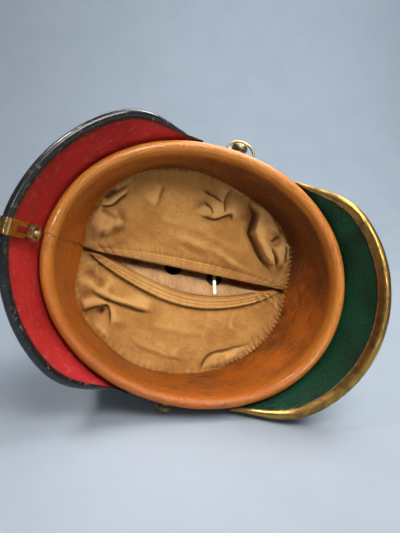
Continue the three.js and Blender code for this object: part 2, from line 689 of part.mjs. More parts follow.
function makeSpike() {
  const bore = BASE.neckRadius + BASE.wall / 2 + SEAT_GAP;
  const shoulder = SPIKE.foot + SPIKE.collarHeight;
  const root = shoulder + SPIKE.rootRise;
  const tip = SPIKE.foot + SPIKE.length;
  const profile = [
    [0, tip - SPIKE.tipWall], [SPIKE.rootRadius - SPIKE.wall, root], [bore, shoulder], [bore, SPIKE.foot],
    [SPIKE.collarRadius, SPIKE.foot], [SPIKE.collarRadius, shoulder - SPIKE.collarBevel],
    [SPIKE.rootRadius + SPIKE.collarBevel, shoulder + SPIKE.collarBevel], [SPIKE.rootRadius, root],
    [SPIKE.tipRadius, tip - SPIKE.tipHeight], [0, tip],
  ];
  const cone = turned(profile, SPIKE.sides).translate(SHELL.apexX, SHELL.apexY, SHELL.height);
  return piece('spike', combine(cone), FINISH.brass);
}

function makeStuds() {
  const seat = BASE_ROWS[1].lift + BASE.wall / 2 + STUD.headSeat;
  const inside = -SHELL.crownWall - STUD.washerSeat;
  const legTop = inside - STUD.washerThickness - SEAT_GAP;
  const legBottom = legTop - STUD.legThickness;
  const body = turned([
    [0, legBottom], [STUD.shankRadius, legBottom], [STUD.shankRadius, seat],
    ...STUD_HEAD.map(({ across, rise }) => [STUD.headRadius * across, seat + STUD.headHeight * rise]),
  ], STUD.sides);
  const leg = (sign) => new THREE.BoxGeometry(STUD.legWidth, STUD.legLength, STUD.legThickness)
    .translate(0, (sign * STUD.legLength) / 2, legTop - STUD.legThickness / 2);
  const stud = combine(body, [leg(1), leg(-1)]);
  const washerBody = pin(STUD.washerRadius, inside - STUD.washerThickness, inside, STUD.sides);
  const washer = combine(washerBody, [], [holeCutter(STUD.holeRadius)]);
  return studPlaces().flatMap(({ side, point, outward }) => [
    piece(`base_stud_${side}`, placed(stud, point, outward), FINISH.brass),
    piece(`stud_washer_${side}`, placed(washer, point, outward), FINISH.washer),
  ]);
}

// Side posts and rings

/** Closed middle line of a half-round ring: along its bar and above it. */
function ringLine() {
  const bow = RING.rise - RING.corner;
  const line = [[RING.corner - RING.halfWidth, 0], [RING.halfWidth - RING.corner, 0]];
  for (let k = 0; k <= RING.bowSteps; k += 1) {
    const angle = (Math.PI * k) / RING.bowSteps;
    line.push([RING.halfWidth * Math.cos(angle), RING.corner + bow * Math.sin(angle)]);
  }
  return line;
}

/** Wire bent round a closed flat line. */
function wireLoop(line, flatNormal) {
  const positions = [];
  const triangles = [];
  line.forEach((point, k) => {
    const run = line[(k + 1) % line.length].clone().sub(line.at(k - 1)).normalize();
    const sideways = run.cross(flatNormal);
    for (let j = 0; j < RING.wireSides; j += 1) {
      const angle = (2 * Math.PI * j) / RING.wireSides;
      positions.push(...point.clone()
        .addScaledVector(sideways, RING.wireRadius * Math.cos(angle))
        .addScaledVector(flatNormal, RING.wireRadius * Math.sin(angle)).toArray());
    }
  });
  const at = (k, j) => (k % line.length) * RING.wireSides + (j % RING.wireSides);
  for (let k = 0; k < line.length; k += 1) {
    for (let j = 0; j < RING.wireSides; j += 1) {
      triangles.push(at(k, j), at(k + 1, j), at(k + 1, j + 1), at(k, j), at(k + 1, j + 1), at(k, j + 1));
    }
  }
  return closedGeometry(positions, triangles);
}

function makePosts() {
  const wallBack = -SHELL.rimWall - POST.backSeat;
  const flangeTop = SEAT_GAP + POST.flangeThickness;
  const body = turned([
    [0, wallBack - POST.plateThickness], [POST.plateRadius, wallBack - POST.plateThickness],
    [POST.plateRadius, wallBack], [POST.shankRadius, wallBack], [POST.shankRadius, SEAT_GAP],
    [POST.flangeRadius, SEAT_GAP], [POST.flangeRadius, flangeTop],
    [POST.neckRadius, flangeTop + POST.neckFoot], [POST.neckRadius, POST.knobBottom],
    [POST.knobRadius, POST.knobBottom + POST.knobRound], [POST.knobRadius, POST.height - POST.shoulder],
    [POST.knobRadius * POST.domeShare, POST.height - POST.knobRound],
    [POST.faceRadius, POST.height], [0, POST.height],
  ], POST.sides);
  return postPlaces().flatMap(({ side, slide, swingDegrees, point, outward }) => {
    const swing = radians(swingDegrees);
    const along = new THREE.Vector3(1, 0, 0).addScaledVector(outward, -outward.x).normalize();
    const spikeward = UP.clone().addScaledVector(outward, -outward.z).normalize();
    const bowward = spikeward.multiplyScalar(Math.cos(swing)).addScaledVector(outward, Math.sin(swing));
    const eyePoint = point.clone().addScaledVector(outward, POST.eyeHeight);
    const eye = placed(holeCutter(POST.eyeRadius), eyePoint, along);
    const loop = ringLine().map(([x, rise]) => (
      eyePoint.clone().addScaledVector(along, x + slide).addScaledVector(bowward, rise)));
    const ring = wireLoop(loop, along.clone().cross(bowward).normalize());
    return [
      piece(`side_post_${side}`, combine(placed(body, point, outward), [], [eye]), FINISH.oldBrass),
      piece(`side_ring_${side}`, combine(ring), FINISH.oldBrass),
    ];
  });
}

// The helmet laid on its left side: the front dips and the spike's end sinks a little

const helmet = new THREE.Group();
helmet.add(
  makeShell(), ...makeFrontVisor(), ...makeRearVisor(), ...makeSpine(), makeSweatband(), ...makeLiner(),
  makeBase(), makeSpike(), ...makeStuds(), ...makePosts(),
);

const dip = radians(LIE.frontDipDegrees);
const sink = radians(LIE.spikeSinkDegrees);
const level = Math.cos(sink);
const up = new THREE.Vector3(-Math.sin(dip) * level, -Math.cos(dip) * level, -Math.sin(sink));
const spikeward = UP.clone().addScaledVector(up, -UP.dot(up)).normalize();
const frontward = spikeward.clone().cross(up);
const lie = new THREE.Matrix4().makeBasis(frontward, spikeward, up).transpose();
helmet.applyMatrix4(lie);
helmet.updateMatrixWorld(true);

const box = new THREE.Box3().setFromObject(helmet, true);
const middle = box.getCenter(new THREE.Vector3());
helmet.position.sub(new THREE.Vector3(middle.x, middle.y, box.min.z));

const part = new THREE.Group();
part.add(helmet);
part.updateMatrixWorld(true);

export default part;
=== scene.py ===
"""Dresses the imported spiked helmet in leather, cotton and brass, on the photo's pale floor.

Shapes are worked out in millimetres in the helmet's own frame, as in the part's source: +X to the front,
+Y to the wearer's left, +Z up to the spike and the rim at Z = 0. They are then laid into the row's frame.
"""
import logging
import math
from dataclasses import dataclass, field
from enum import Enum
from typing import Callable, Optional, Sequence

import bpy
import numpy as np
from mathutils import Matrix, Vector


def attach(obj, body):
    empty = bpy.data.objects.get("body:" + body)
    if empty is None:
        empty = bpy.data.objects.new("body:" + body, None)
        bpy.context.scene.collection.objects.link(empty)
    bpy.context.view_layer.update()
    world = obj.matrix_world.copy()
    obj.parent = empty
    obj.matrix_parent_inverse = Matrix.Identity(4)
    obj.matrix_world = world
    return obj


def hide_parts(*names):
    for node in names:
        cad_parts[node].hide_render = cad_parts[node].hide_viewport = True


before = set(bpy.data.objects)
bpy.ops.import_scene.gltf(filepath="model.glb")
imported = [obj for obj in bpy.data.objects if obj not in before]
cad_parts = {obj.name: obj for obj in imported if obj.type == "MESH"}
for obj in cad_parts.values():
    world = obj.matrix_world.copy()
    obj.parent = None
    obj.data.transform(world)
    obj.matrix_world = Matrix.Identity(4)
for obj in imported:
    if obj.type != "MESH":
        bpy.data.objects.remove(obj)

LOG = logging.getLogger("helmet")
METRES = 0.001
BODY = "root"
TINY = 1e-9
HASH_AXES = np.array([73856093, 19349663, 83492791])
HASH_SEED = 2654435
HASH_MIX = 1274126177
HASH_MASK = 0x7FFFFFFF
HASH_LEVELS = 65536
LAYER_SHIFT = 31.7
LAYER_SUM = 1.5
WAVE_SPAN = 0.314
Array = np.ndarray
Material = bpy.types.Material
Object = bpy.types.Object
Socket = bpy.types.NodeSocket
Colour = tuple[float, float, float]
Spot = tuple[float, float, float]
Pair = tuple[float, float]
Surface = Callable[[Array, Array], Array]


class Side(Enum):
    """Wearer's side, as the sign of Y."""

    LEFT = 1
    RIGHT = -1


# Small tools for shapes


def signed_power(value: Array, power: float) -> Array:
    """Power that keeps the sign, for superellipses."""
    return np.sign(value) * np.abs(value) ** power


def smooth_step(value: Array, low: float, high: float) -> Array:
    """Eased step from 0 where the value is low to 1 where it is high."""
    share = np.clip((value - low) / (high - low), 0, 1)
    return share * share * (3 - 2 * share)


def bump(value: Array, width: float) -> Array:
    """Rounded bump: 1 where the value is zero, gone at about twice the width."""
    return np.exp(-((value / width) ** 2))


def unit(vectors: Array) -> Array:
    """Vectors of length one, along the last axis."""
    return vectors / np.maximum(np.linalg.norm(vectors, axis=-1, keepdims=True), TINY)


def around(count: int) -> Array:
    """Even angles in radians once round, the last step left out."""
    return np.linspace(0, 2 * math.pi, count, endpoint=False)


def running(steps: Array) -> Array:
    """Running total of steps that starts at zero."""
    return np.concatenate([[0], np.cumsum(steps)])


def norm(vectors: Array) -> Array:
    """Lengths of vectors, along the last axis."""
    return np.linalg.norm(vectors, axis=-1)


def vec(*parts: Array) -> Array:
    """Vectors from their parts, each a number or an array."""
    return np.stack(np.broadcast_arrays(*parts), axis=-1)


def crossed(first: Array, second: Array) -> Array:
    """Grid of the pairs of two rows of numbers."""
    return vec(*np.meshgrid(first, second, indexing="ij"))


def quads(of: Array) -> Array:
    """Four corners of each cell of a grid."""
    return np.stack([of[:-1, :-1], of[1:, :-1], of[1:, 1:], of[:-1, 1:]], axis=2)


def lattice_noise(points: Array, seed: int) -> Array:
    """Smooth noise from -1 to 1 with a feature about every unit.

    Args:
        points: Places in three dimensions.
        seed: Fixed seed.

    Returns:
        One number for each place.
    """
    cell = np.floor(points).astype(np.int64)
    share = points - cell
    ease = share**3 * (share * (share * 6 - 15) + 10)
    total = np.zeros(points.shape[:-1])
    for corner in np.ndindex(2, 2, 2):
        mixed = np.bitwise_xor.reduce((cell + np.array(corner)) * HASH_AXES, axis=-1) ^ seed * HASH_SEED
        mixed = (mixed ^ (mixed >> 13)) * HASH_MIX & HASH_MASK
        value = (mixed ^ (mixed >> 15)) % HASH_LEVELS / (HASH_LEVELS / 2 - 0.5) - 1
        total += value * np.prod(np.where(np.array(corner) == 1, ease, 1 - ease), axis=-1)
    return total


def noise_at(seed: int, x: Array, y: Array = 0, z: Array = 0) -> Array:
    """Smooth noise at places given axis by axis."""
    return lattice_noise(vec(x, y, z), seed)


def layered_noise(points: Array, size: float, layers: int, seed: int) -> Array:
    """Noise in several sizes, each half as large and half as strong as the last.

    Args:
        points: Places in millimetres.
        size: Largest feature in millimetres.
        layers: Number of sizes.
        seed: Fixed seed.

    Returns:
        One number for each place, about -1 to 1.
    """
    total = np.zeros(points.shape[:-1])
    for layer in range(layers):
        total += lattice_noise(points * 2**layer / size + LAYER_SHIFT * layer, seed + layer) / 2**layer
    return total / LAYER_SUM


@dataclass(frozen=True)
class Wave:
    """Layered noise: its height and largest feature in millimetres, its layers and its fixed seed."""

    height: float
    size: float
    layers: int
    seed: int

    def at(self, points: Array) -> Array:
        """Height of the noise at points."""
        return self.height * layered_noise(points, self.size, self.layers, self.seed)


def grid(columns: int, rows: int, closed: bool = False) -> tuple[Array, Array]:
    """The u and v of an even grid over the unit square; a closed one leaves out its last line of u."""
    u = np.linspace(0, 1, columns + 1)[: columns if closed else None]
    return np.meshgrid(u, np.linspace(0, 1, rows + 1), indexing="ij")


def normals_of(surface: Surface, u: Array, v: Array, step: float = 1e-3) -> Array:
    """Unit normals of a surface over (u, v), by small steps."""
    ways = ((step, 0), (0, step))
    return unit(np.cross(*(surface(u + a, v + b) - surface(u - a, v - b) for a, b in ways)))


def grid_normals(points: Array, closed: bool) -> Array:
    """Unit normals of a grid of points, from its neighbours; a closed one runs round on its first axis."""
    along = np.roll(points, -1, 0) - np.roll(points, 1, 0) if closed else np.gradient(points, axis=0)
    return unit(np.cross(along, np.gradient(points, axis=1)))


def rounded(profile: Sequence[Pair], radius: float, steps: int = 4) -> Array:
    """Half section with its inner corners eased.

    Args:
        profile: Radius and height of each corner.
        radius: Largest length taken from each side of a corner.
        steps: Points along each eased corner, less one.

    Returns:
        Radius and height of each point.
    """
    corners = np.array(profile, float)
    points = [corners[0]]
    for before, corner, after in zip(corners[:-2], corners[1:-1], corners[2:]):
        arms = [other - corner for other in (before, after)]
        cut = [arm * min(radius / max(np.linalg.norm(arm), TINY), 0.45) for arm in arms]
        for share in np.linspace(0, 1, steps + 1):
            points.append(corner + cut[0] * (1 - share) ** 2 + cut[1] * share**2)
    points.append(corners[-1])
    return np.array(points)


def through_rows(table: Array, knots: Array, place: Array) -> Array:
    """Smooth curve through the rows of a table.

    Args:
        table: Numbers of each row.
        knots: Place of each row.
        place: Places to read.

    Returns:
        The numbers at each place.
    """
    slopes = np.gradient(table, knots, axis=0)
    low = np.clip(np.searchsorted(knots, place, side="right") - 1, 0, len(knots) - 2)
    width = (knots[low + 1] - knots[low])[..., None]
    t = (place - knots[low])[..., None] / width
    return (
        (2 * t**3 - 3 * t**2 + 1) * table[low] + (t**3 - 2 * t**2 + t) * width * slopes[low]
        + (3 * t**2 - 2 * t**3) * table[low + 1] + (t**3 - t**2) * width * slopes[low + 1])


@dataclass(frozen=True)
class Lie:
    """How the helmet lies: its own frame in millimetres to the row's frame in metres."""

    front_dip: float = 16.1
    spike_sink: float = 9.4
    middle: Spot = (-1.26, -77.11, 94.997)

    def axes(self) -> Array:
        """Row frame's axes in the helmet's frame.

        Returns:
            One axis in each row.
        """
        dip, sink = math.radians(self.front_dip), math.radians(self.spike_sink)
        level = math.cos(sink)
        up = np.array([-math.sin(dip) * level, -math.cos(dip) * level, -math.sin(sink)])
        spikeward = unit(np.array([0, 0, 1]) - up[2] * up)
        return np.array([np.cross(spikeward, up), spikeward, up])

    def place(self, points: Array) -> Array:
        """Points of the helmet's frame in the row's frame, in metres."""
        return (points @ self.axes().T + np.array(self.middle)) * METRES


LIE = Lie()


def shown(name: str, data: bpy.types.ID) -> Object:
    """New object, linked to the scene.

    Args:
        name: Name of the object.
        data: Its mesh, lamp or camera.

    Returns:
        The object.
    """
    made = bpy.data.objects.new(name, data)
    bpy.context.scene.collection.objects.link(made)
    return made


def declare(made: Object, slot: str, *nodes: str) -> Object:
    """Ties a piece to its body and hides the CAD nodes it stands for.

    Args:
        made: The finished piece.
        slot: Material slot of the record; not used.
        nodes: Names of the CAD nodes.

    Returns:
        The same piece.
    """
    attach(made, BODY)
    if nodes:
        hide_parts(*nodes)
    LOG.info("%s: %d faces for %s", made.name, len(made.data.polygons), ", ".join(nodes) or "no node")
    return made


@dataclass
class Solid:
    """A closed mesh in the helmet's frame, gathered before Blender sees it."""

    points: Array
    faces: Array
    finish: Array
    uv: Array
    values: dict[str, Array] = field(default_factory=dict)

    @classmethod
    def of_grid(cls, points: Array, ids: Array, spots: Array) -> "Solid":
        """Solid of one finish from a grid of point numbers.

        Args:
            points: Points.
            ids: Number of the point at each grid place.
            spots: UV in millimetres at each grid place.

        Returns:
            The solid, its faces outward.
        """
        faces = quads(ids).reshape(-1, 4)
        uv = quads(spots * METRES).reshape(-1, 4, 2)
        return cls(points, faces, np.zeros(len(faces), int), uv).turned_out()

    def turned_out(self) -> "Solid":
        """The solid with its faces outward.

        Returns:
            The same solid.
        """
        a, b, c, d = (self.points[self.faces[:, k]] for k in range(4))
        volume = np.sum(np.cross(a, b) * c) + np.sum(np.cross(a, c) * d)
        if volume < 0:
            self.faces = self.faces[:, ::-1]
            self.uv = self.uv[:, ::-1]
        return self

    def moved(self, point: Array, direction: Array) -> "Solid":
        """The solid turned from +Z to a direction and moved to a point.

        Args:
            point: New place of the origin.
            direction: New direction of +Z.

        Returns:
            The same solid.
        """
        turn = Vector((0, 0, 1)).rotation_difference(Vector(direction)).to_matrix()
        self.points = self.points @ np.array(turn).T + point
        return self

    def joined(self, other: "Solid") -> "Solid":
        """Both solids as one mesh.

        Args:
            other: The solid to add.

        Returns:
            A new solid.
        """
        return Solid(
            np.concatenate([self.points, other.points]),
            np.concatenate([self.faces, other.faces + len(self.points)]),
            np.concatenate([self.finish, other.finish]),
            np.concatenate([self.uv, other.uv]),
        )

    def piece(self, name: str, slot: str, node: str, *finishes: Material, crease: float = 40) -> Object:
        """Blender piece that stands for a CAD node, laid down in the row's frame.

        Args:
            name: Name of the piece.
            slot: Material slot of the record.
            node: Name of the CAD node.
            finishes: Materials that the face numbers name.
            crease: Angle in degrees above which an edge stays sharp.

        Returns:
            The piece.
        """
        mesh = bpy.data.meshes.new(name)
        faces = [list(dict.fromkeys(face)) for face in self.faces.tolist()]
        mesh.from_pydata(LIE.place(self.points).tolist(), [], faces)
        for material in finishes:
            mesh.materials.append(material)
        mesh.polygons.foreach_set("material_index", self.finish.astype(np.int32))
        mesh.polygons.foreach_set("use_smooth", np.ones(len(faces), bool))
        corners = [
            spot for face, spots in zip(self.faces.tolist(), self.uv.tolist())
            for k, spot in enumerate(spots) if face[k] not in face[:k]
        ]
        layer = mesh.uv_layers.new(name="run")
        layer.data.foreach_set("uv", np.array(corners, np.float32).ravel())
        for key, values in self.values.items():
            attribute = mesh.attributes.new(key, "FLOAT", "POINT")
            attribute.data.foreach_set("value", values.astype(np.float32).ravel())
        mesh.set_sharp_from_angle(angle=math.radians(crease))
        mesh.update()
        return declare(shown(name, mesh), slot, node)


def wall(
    top: Array,
    bottom: Array,
    closed: bool = False,
    keep: Optional[Array] = None,
    values: Optional[dict[str, Array]] = None,
    finishes: tuple[int, int, int] = (0, 0, 0),
) -> Solid:
    """Closed wall between two grids of points.

    Args:
        top: First face of the wall.
        bottom: Second face of the wall.
        closed: Whether the first axis runs round.
        keep: Grid cells that are not holes.
        values: A number for each grid point under each name, shared by both faces.
        finishes: Material number of the first face, the second face and the edges.

    Returns:
        The wall, its faces outward and its UV in metres along both axes.
    """
    columns, rows = top.shape[:2]
    count = columns * rows
    ids = np.arange(count).reshape(columns, rows)
    run = running(norm(np.diff(top, axis=0, append=top[:1])).mean(axis=1))
    rise = running(norm(np.diff(top, axis=1)).mean(axis=0))
    if closed:
        ids = np.concatenate([ids, ids[:1]])
    used = np.ones((len(ids) - 1, rows - 1), bool) if keep is None else keep
    upper = quads(ids)[used]
    spots = quads(crossed(run[: len(ids)], rise) * METRES)[used]
    sides = [[k, (k + 1) % 4] for k in range(4)]
    edges = np.concatenate([upper[:, side] for side in sides])
    edge_spots = np.concatenate([spots[:, side] for side in sides])
    bare = ~np.isin(edges[:, 0] * count + edges[:, 1], edges[:, 1] * count + edges[:, 0])
    a, b = edges[bare].T
    rim = np.stack([b, a, a + count, b + count], axis=1)
    faces = np.concatenate([upper, upper[:, ::-1] + count, rim])
    numbers = np.repeat(finishes, [len(upper), len(upper), len(rim)])
    uv = np.concatenate([spots, spots[:, ::-1], edge_spots[bare][:, [1, 0, 0, 1]]])
    shared = {key: np.concatenate([value.ravel(), value.ravel()]) for key, value in (values or {}).items()}
    points = np.concatenate([top.reshape(-1, 3), bottom.reshape(-1, 3)])
    return Solid(points, faces, numbers, uv, shared).turned_out()


def turned(profile: Array, sides: int, ripple: Optional[Array] = None) -> Solid:
    """Turned solid about +Z from a half section that starts and ends on the axis.

    Args:
        profile: Radius and height of each point.
        sides: Steps round the axis.
        ripple: Added radius for each point of the section and each step round.

    Returns:
        The solid, with UV in metres.
    """
    radius = np.repeat(profile[1:-1, :1], sides, axis=1)
    if ripple is not None:
        radius = radius + ripple[1:-1]
    height = np.repeat(profile[1:-1, 1:], sides, axis=1)
    angle = around(sides)
    rings = vec(radius * np.cos(angle), radius * np.sin(angle), height).reshape(-1, 3)
    points = np.concatenate([rings, [[0, 0, profile[0, 1]], [0, 0, profile[-1, 1]]]])
    ids = np.pad(np.arange(len(rings)).reshape(-1, sides), ((0, 0), (0, 1)), mode="wrap")
    first = np.full((1, sides + 1), len(rings))
    along = running(norm(np.diff(profile, axis=0)))
    girth = 2 * math.pi * np.max(profile[:, 0]) * np.linspace(0, 1, sides + 1)
    return Solid.of_grid(points, np.concatenate([first, ids, first + 1]), crossed(along, girth))


def hoop(rings: Array) -> Solid:
    """Closed solid from a grid of points that runs round on both axes.

    Args:
        rings: Grid of points.

    Returns:
        The solid, with UV in metres.
    """
    points = rings.reshape(-1, 3)
    ids = np.pad(np.arange(len(points)).reshape(rings.shape[:2]), ((0, 1), (0, 1)), mode="wrap")
    spans = []
    for axis in range(2):
        steps = norm(np.roll(rings, -1, axis=axis) - rings)
        spans.append(running(steps.mean(axis=1 - axis)))
    return Solid.of_grid(points, ids, crossed(*spans))


def wire_loop(line: Array, flat_normal: Array, radius: float, sides: int = 14) -> Solid:
    """Round wire along a closed flat line.

    Args:
        line: Points of the middle line.
        flat_normal: Normal of the plane of the line.
        radius: Radius of the wire.
        sides: Steps round the wire.

    Returns:
        The wire, with UV in metres.
    """
    run = unit(np.roll(line, -1, axis=0) - np.roll(line, 1, axis=0))
    sideways = np.cross(run, flat_normal)
    angle = around(sides)[:, None]
    return hoop(line[:, None] + (sideways[:, None] * np.cos(angle) + flat_normal * np.sin(angle)) * radius)


# Finishes


class Bench:
    """Builds the shader tree of one material, a node at a time."""

    def __init__(self, name: str) -> None:
        """Starts an empty material with one surface shader.

        Args:
            name: Name of the material.
        """
        self.material = bpy.data.materials.new(name)
        self.material.use_nodes = True
        self.tree = self.material.node_tree
        self.tree.nodes.clear()
        self.shader = self.tree.nodes.new("ShaderNodeBsdfPrincipled")
        output = self.tree.nodes.new("ShaderNodeOutputMaterial")
        self.tree.links.new(self.shader.outputs["BSDF"], output.inputs["Surface"])

    def feed(self, socket: Socket, value: object) -> None:
        """Links a socket to an input, or sets the input's constant.

        Args:
            socket: The input.
            value: A socket, a number, a colour or a vector.
        """
        if isinstance(value, Socket):
            self.tree.links.new(value, socket)
        elif isinstance(value, tuple) and socket.type == "RGBA":
            socket.default_value = (*value, 1)
        else:
            socket.default_value = value

    def set(self, **inputs: object) -> None:
        """Sets inputs of the surface shader by name; underscores stand for spaces."""
        for key, value in inputs.items():
            self.feed(self.shader.inputs[key.replace("_", " ")], value)

    def node(self, kind: str, output: str | int, inputs: dict[str | int, object], **settings: str) -> Socket:
        """Adds a node and gives one of its outputs.

        Args:
            kind: Kind of shader node.
            output: Name or number of the output.
            inputs: Values by name or number of the input.
            settings: Choices of the node.

        Returns:
            The output.
        """
        node = self.tree.nodes.new(f"ShaderNode{kind}")
        for key, choice in settings.items():
            setattr(node, key, choice)
        for key, value in inputs.items():
            self.feed(node.inputs[key], value)
        return node.outputs[output]

    def place(self) -> Socket:
        """Object coordinates, in metres."""
        return self.node("TexCoord", "Object", {})

    def run(self) -> Socket:
        """The piece's own UV, in metres along the surface."""
        return self.node("UVMap", "UV", {}, uv_map="run")

    def value(self, name: str) -> Socket:
        """A number kept on the mesh under a name."""
        return self.node("Attribute", "Fac", {}, attribute_name=name)

    def stretch(self, vector: Socket, scale: Spot = (1, 1, 1), turn: float = 0) -> Socket:
        """Coordinates scaled along each axis and turned about the third one, in degrees."""
        turns = (0, 0, math.radians(turn))
        return self.node("Mapping", "Vector", {"Vector": vector, "Scale": scale, "Rotation": turns})

    def noise(
        self, vector: Socket, scale: float, detail: float = 4, rough: float = 0.55, bend: float = 0
    ) -> Socket:
        """Cloudy noise, about 0.3 to 0.7, with so many features in a metre and so many finer layers."""
        return self.node("TexNoise", "Fac", {
            "Vector": vector, "Scale": scale, "Detail": detail, "Roughness": rough, "Distortion": bend})

    def cells(self, vector: Socket, scale: float, edges: bool = False) -> Socket:
        """Distance to the middle, or to the edge, in a pattern with so many cells in a metre."""
        feature = "DISTANCE_TO_EDGE" if edges else "F1"
        return self.node("TexVoronoi", "Distance", {"Vector": vector, "Scale": scale}, feature=feature)

    def threads(self, vector: Socket, apart: float, axis: str) -> Socket:
        """Even ridges across one axis, so many metres apart."""
        inputs = {"Vector": vector, "Scale": WAVE_SPAN / apart, "Distortion": 0}
        return self.node("TexWave", "Fac", inputs, bands_direction=axis)

    def ramp(self, value: Socket, low: float, high: float) -> Socket:
        """Eased step from 0 where the value is low to 1 where it is high."""
        inputs = {"Value": value, "From Min": low, "From Max": high}
        return self.node("MapRange", "Result", inputs, interpolation_type="SMOOTHSTEP")

    def sum(self, operation: str, first: object, second: object) -> Socket:
        """Named operation on two numbers."""
        return self.node("Math", "Value", {0: first, 1: second}, operation=operation)

    def times(self, first: object, second: object) -> Socket:
        """Product of two numbers."""
        return self.sum("MULTIPLY", first, second)

    def swing(self, noise: Socket, gain: float) -> Socket:
        """Noise moved to swing about zero, times a gain."""
        return self.times(self.sum("SUBTRACT", noise, 0.5), gain)

    def mix(self, share: object, first: object, second: object) -> Socket:
        """Colour between two colours, by the share of the second."""
        return self.node("Mix", 2, {0: share, 6: first, 7: second}, data_type="RGBA")

    def blend(self, share: object, first: object, second: object) -> Socket:
        """Number between two numbers, by the share of the second."""
        return self.node("Mix", 0, {0: share, 2: first, 3: second}, data_type="FLOAT")

    def tint(
        self, colour: object, other: object, value: Socket, low: float, high: float, most: float
    ) -> Socket:
        """Colour that turns to another, at most by a share, as a value goes from low to high."""
        return self.mix(self.times(self.ramp(value, low, high), most), colour, other)

    def relief(self, *layers: tuple[Socket, float]) -> None:
        """Fine relief on the surface.

        Args:
            layers: Height socket and its depth in metres.
        """
        last = None
        for height, depth in layers:
            below = {} if last is None else {"Normal": last}
            last = self.node("Bump", "Normal", {"Height": height, "Distance": depth, **below})
        self.set(Normal=last)


class Finish:
    """A finish that makes its own material."""

    name: str

    def make(self) -> Material:
        """Builds the material.

        Returns:
            The material.
        """
        bench = Bench(self.name)
        self.dress(bench)
        return bench.material

    def dress(self, b: Bench) -> None:
        """Builds the shader tree on a bench; each finish has its own."""
        raise NotImplementedError


@dataclass(frozen=True)
class Lacquer(Finish):
    """Black lacquered leather with a fine crackle and rubbed edges."""

    name: str = "black_lacquer"
    colour: Colour = (0.012, 0.011, 0.011)
    rubbed: Colour = (0.06, 0.035, 0.022)

    def dress(self, b: Bench) -> None:
        """Builds the shader tree.

        Args:
            b: Bench of the material.
        """
        place = b.place()
        cloud = b.noise(place, 45, 6)
        crackle = b.cells(place, 420, edges=True)
        worn = b.noise(place, 90, 8, 0.7)
        b.set(Base_Color=b.tint(self.colour, self.rubbed, worn, 0.6, 0.72, 0.5))
        b.set(Roughness=b.blend(b.ramp(cloud, 0.35, 0.65), 0.22, 0.42), Coat_Weight=0.3, Coat_Roughness=0.15)
        b.relief((b.ramp(crackle, 0, 0.06), 0.00004), (b.noise(place, 700, 3), 0.00005))


@dataclass(frozen=True)
class BareLeather(Finish):
    """Undyed leather inside the crown, with fine scratches across it."""

    name: str = "crown_leather"
    pale: Colour = (0.95, 0.56, 0.25)
    dark: Colour = (0.72, 0.37, 0.14)

    def dress(self, b: Bench) -> None:
        """Builds the shader tree.

        Args:
            b: Bench of the material.
        """
        place = b.place()
        scratches = b.noise(b.stretch(b.stretch(place, turn=40), (90, 1400, 90)), 1, 5, 0.65)
        cloud = b.noise(place, 60, 6, 0.6)
        tone = b.sum("ADD", b.times(scratches, 0.6), b.times(cloud, 0.5))
        b.set(Base_Color=b.mix(b.ramp(tone, 0.42, 0.66), self.dark, self.pale), Roughness=0.62)
        b.relief((scratches, 0.00012), (b.noise(place, 900, 4), 0.00006))


@dataclass(frozen=True)
class PebbledPaint(Finish):
    """Painted leather with a pebbled grain."""

    name: str
    colour: Colour
    deep: Colour
    worn: Colour
    grain: float
    depth: float
    wear_from: float
    rough: float
    hollow: float = 0.45

    def dress(self, b: Bench) -> None:
        """Builds the shader tree.

        Args:
            b: Bench of the material.
        """
        place = b.place()
        pebble = b.cells(place, self.grain)
        cloud = b.noise(place, 35, 6, 0.6)
        scuff = b.noise(b.stretch(place, (1, 2.2, 2.2), 25), 120, 8, 0.72, 0.6)
        colour = b.mix(b.ramp(cloud, 0.32, 0.68), self.deep, self.colour)
        colour = b.tint(colour, self.worn, scuff, self.wear_from, self.wear_from + 0.14, 0.6)
        colour = b.tint(colour, self.deep, pebble, 0.35, 0.75, self.hollow)
        b.set(Base_Color=colour, Roughness=b.blend(b.ramp(cloud, 0.3, 0.7), self.rough, self.rough + 0.18))
        b.set(Specular_IOR_Level=0.3)
        low = b.sum("SUBTRACT", 1.0, pebble)
        b.relief((b.noise(place, 90, 4), 0.0005), (low, self.depth), (b.noise(place, 1500, 3), 0.00004))


@dataclass(frozen=True)
class EdgeBinding(Finish):
    """Glossy black binding, rubbed pale and brown along its crest."""

    name: str = "black_binding"
    colour: Colour = (0.011, 0.011, 0.013)
    rubbed: Colour = (0.16, 0.13, 0.11)

    def dress(self, b: Bench) -> None:
        """Builds the shader tree.

        Args:
            b: Bench of the material.
        """
        place = b.place()
        speck = b.noise(place, 260, 8, 0.72)
        worn = b.times(b.ramp(speck, 0.56, 0.68), b.ramp(b.value("crest"), 0.25, 1))
        b.set(Base_Color=b.mix(worn, self.colour, self.rubbed))
        b.set(Roughness=b.blend(worn, b.blend(b.noise(place, 40, 4), 0.16, 0.34), 0.6), Coat_Weight=0.25)
        b.relief((b.noise(place, 220, 5, 0.6), 0.00022), (b.noise(place, 1200, 3), 0.00004))


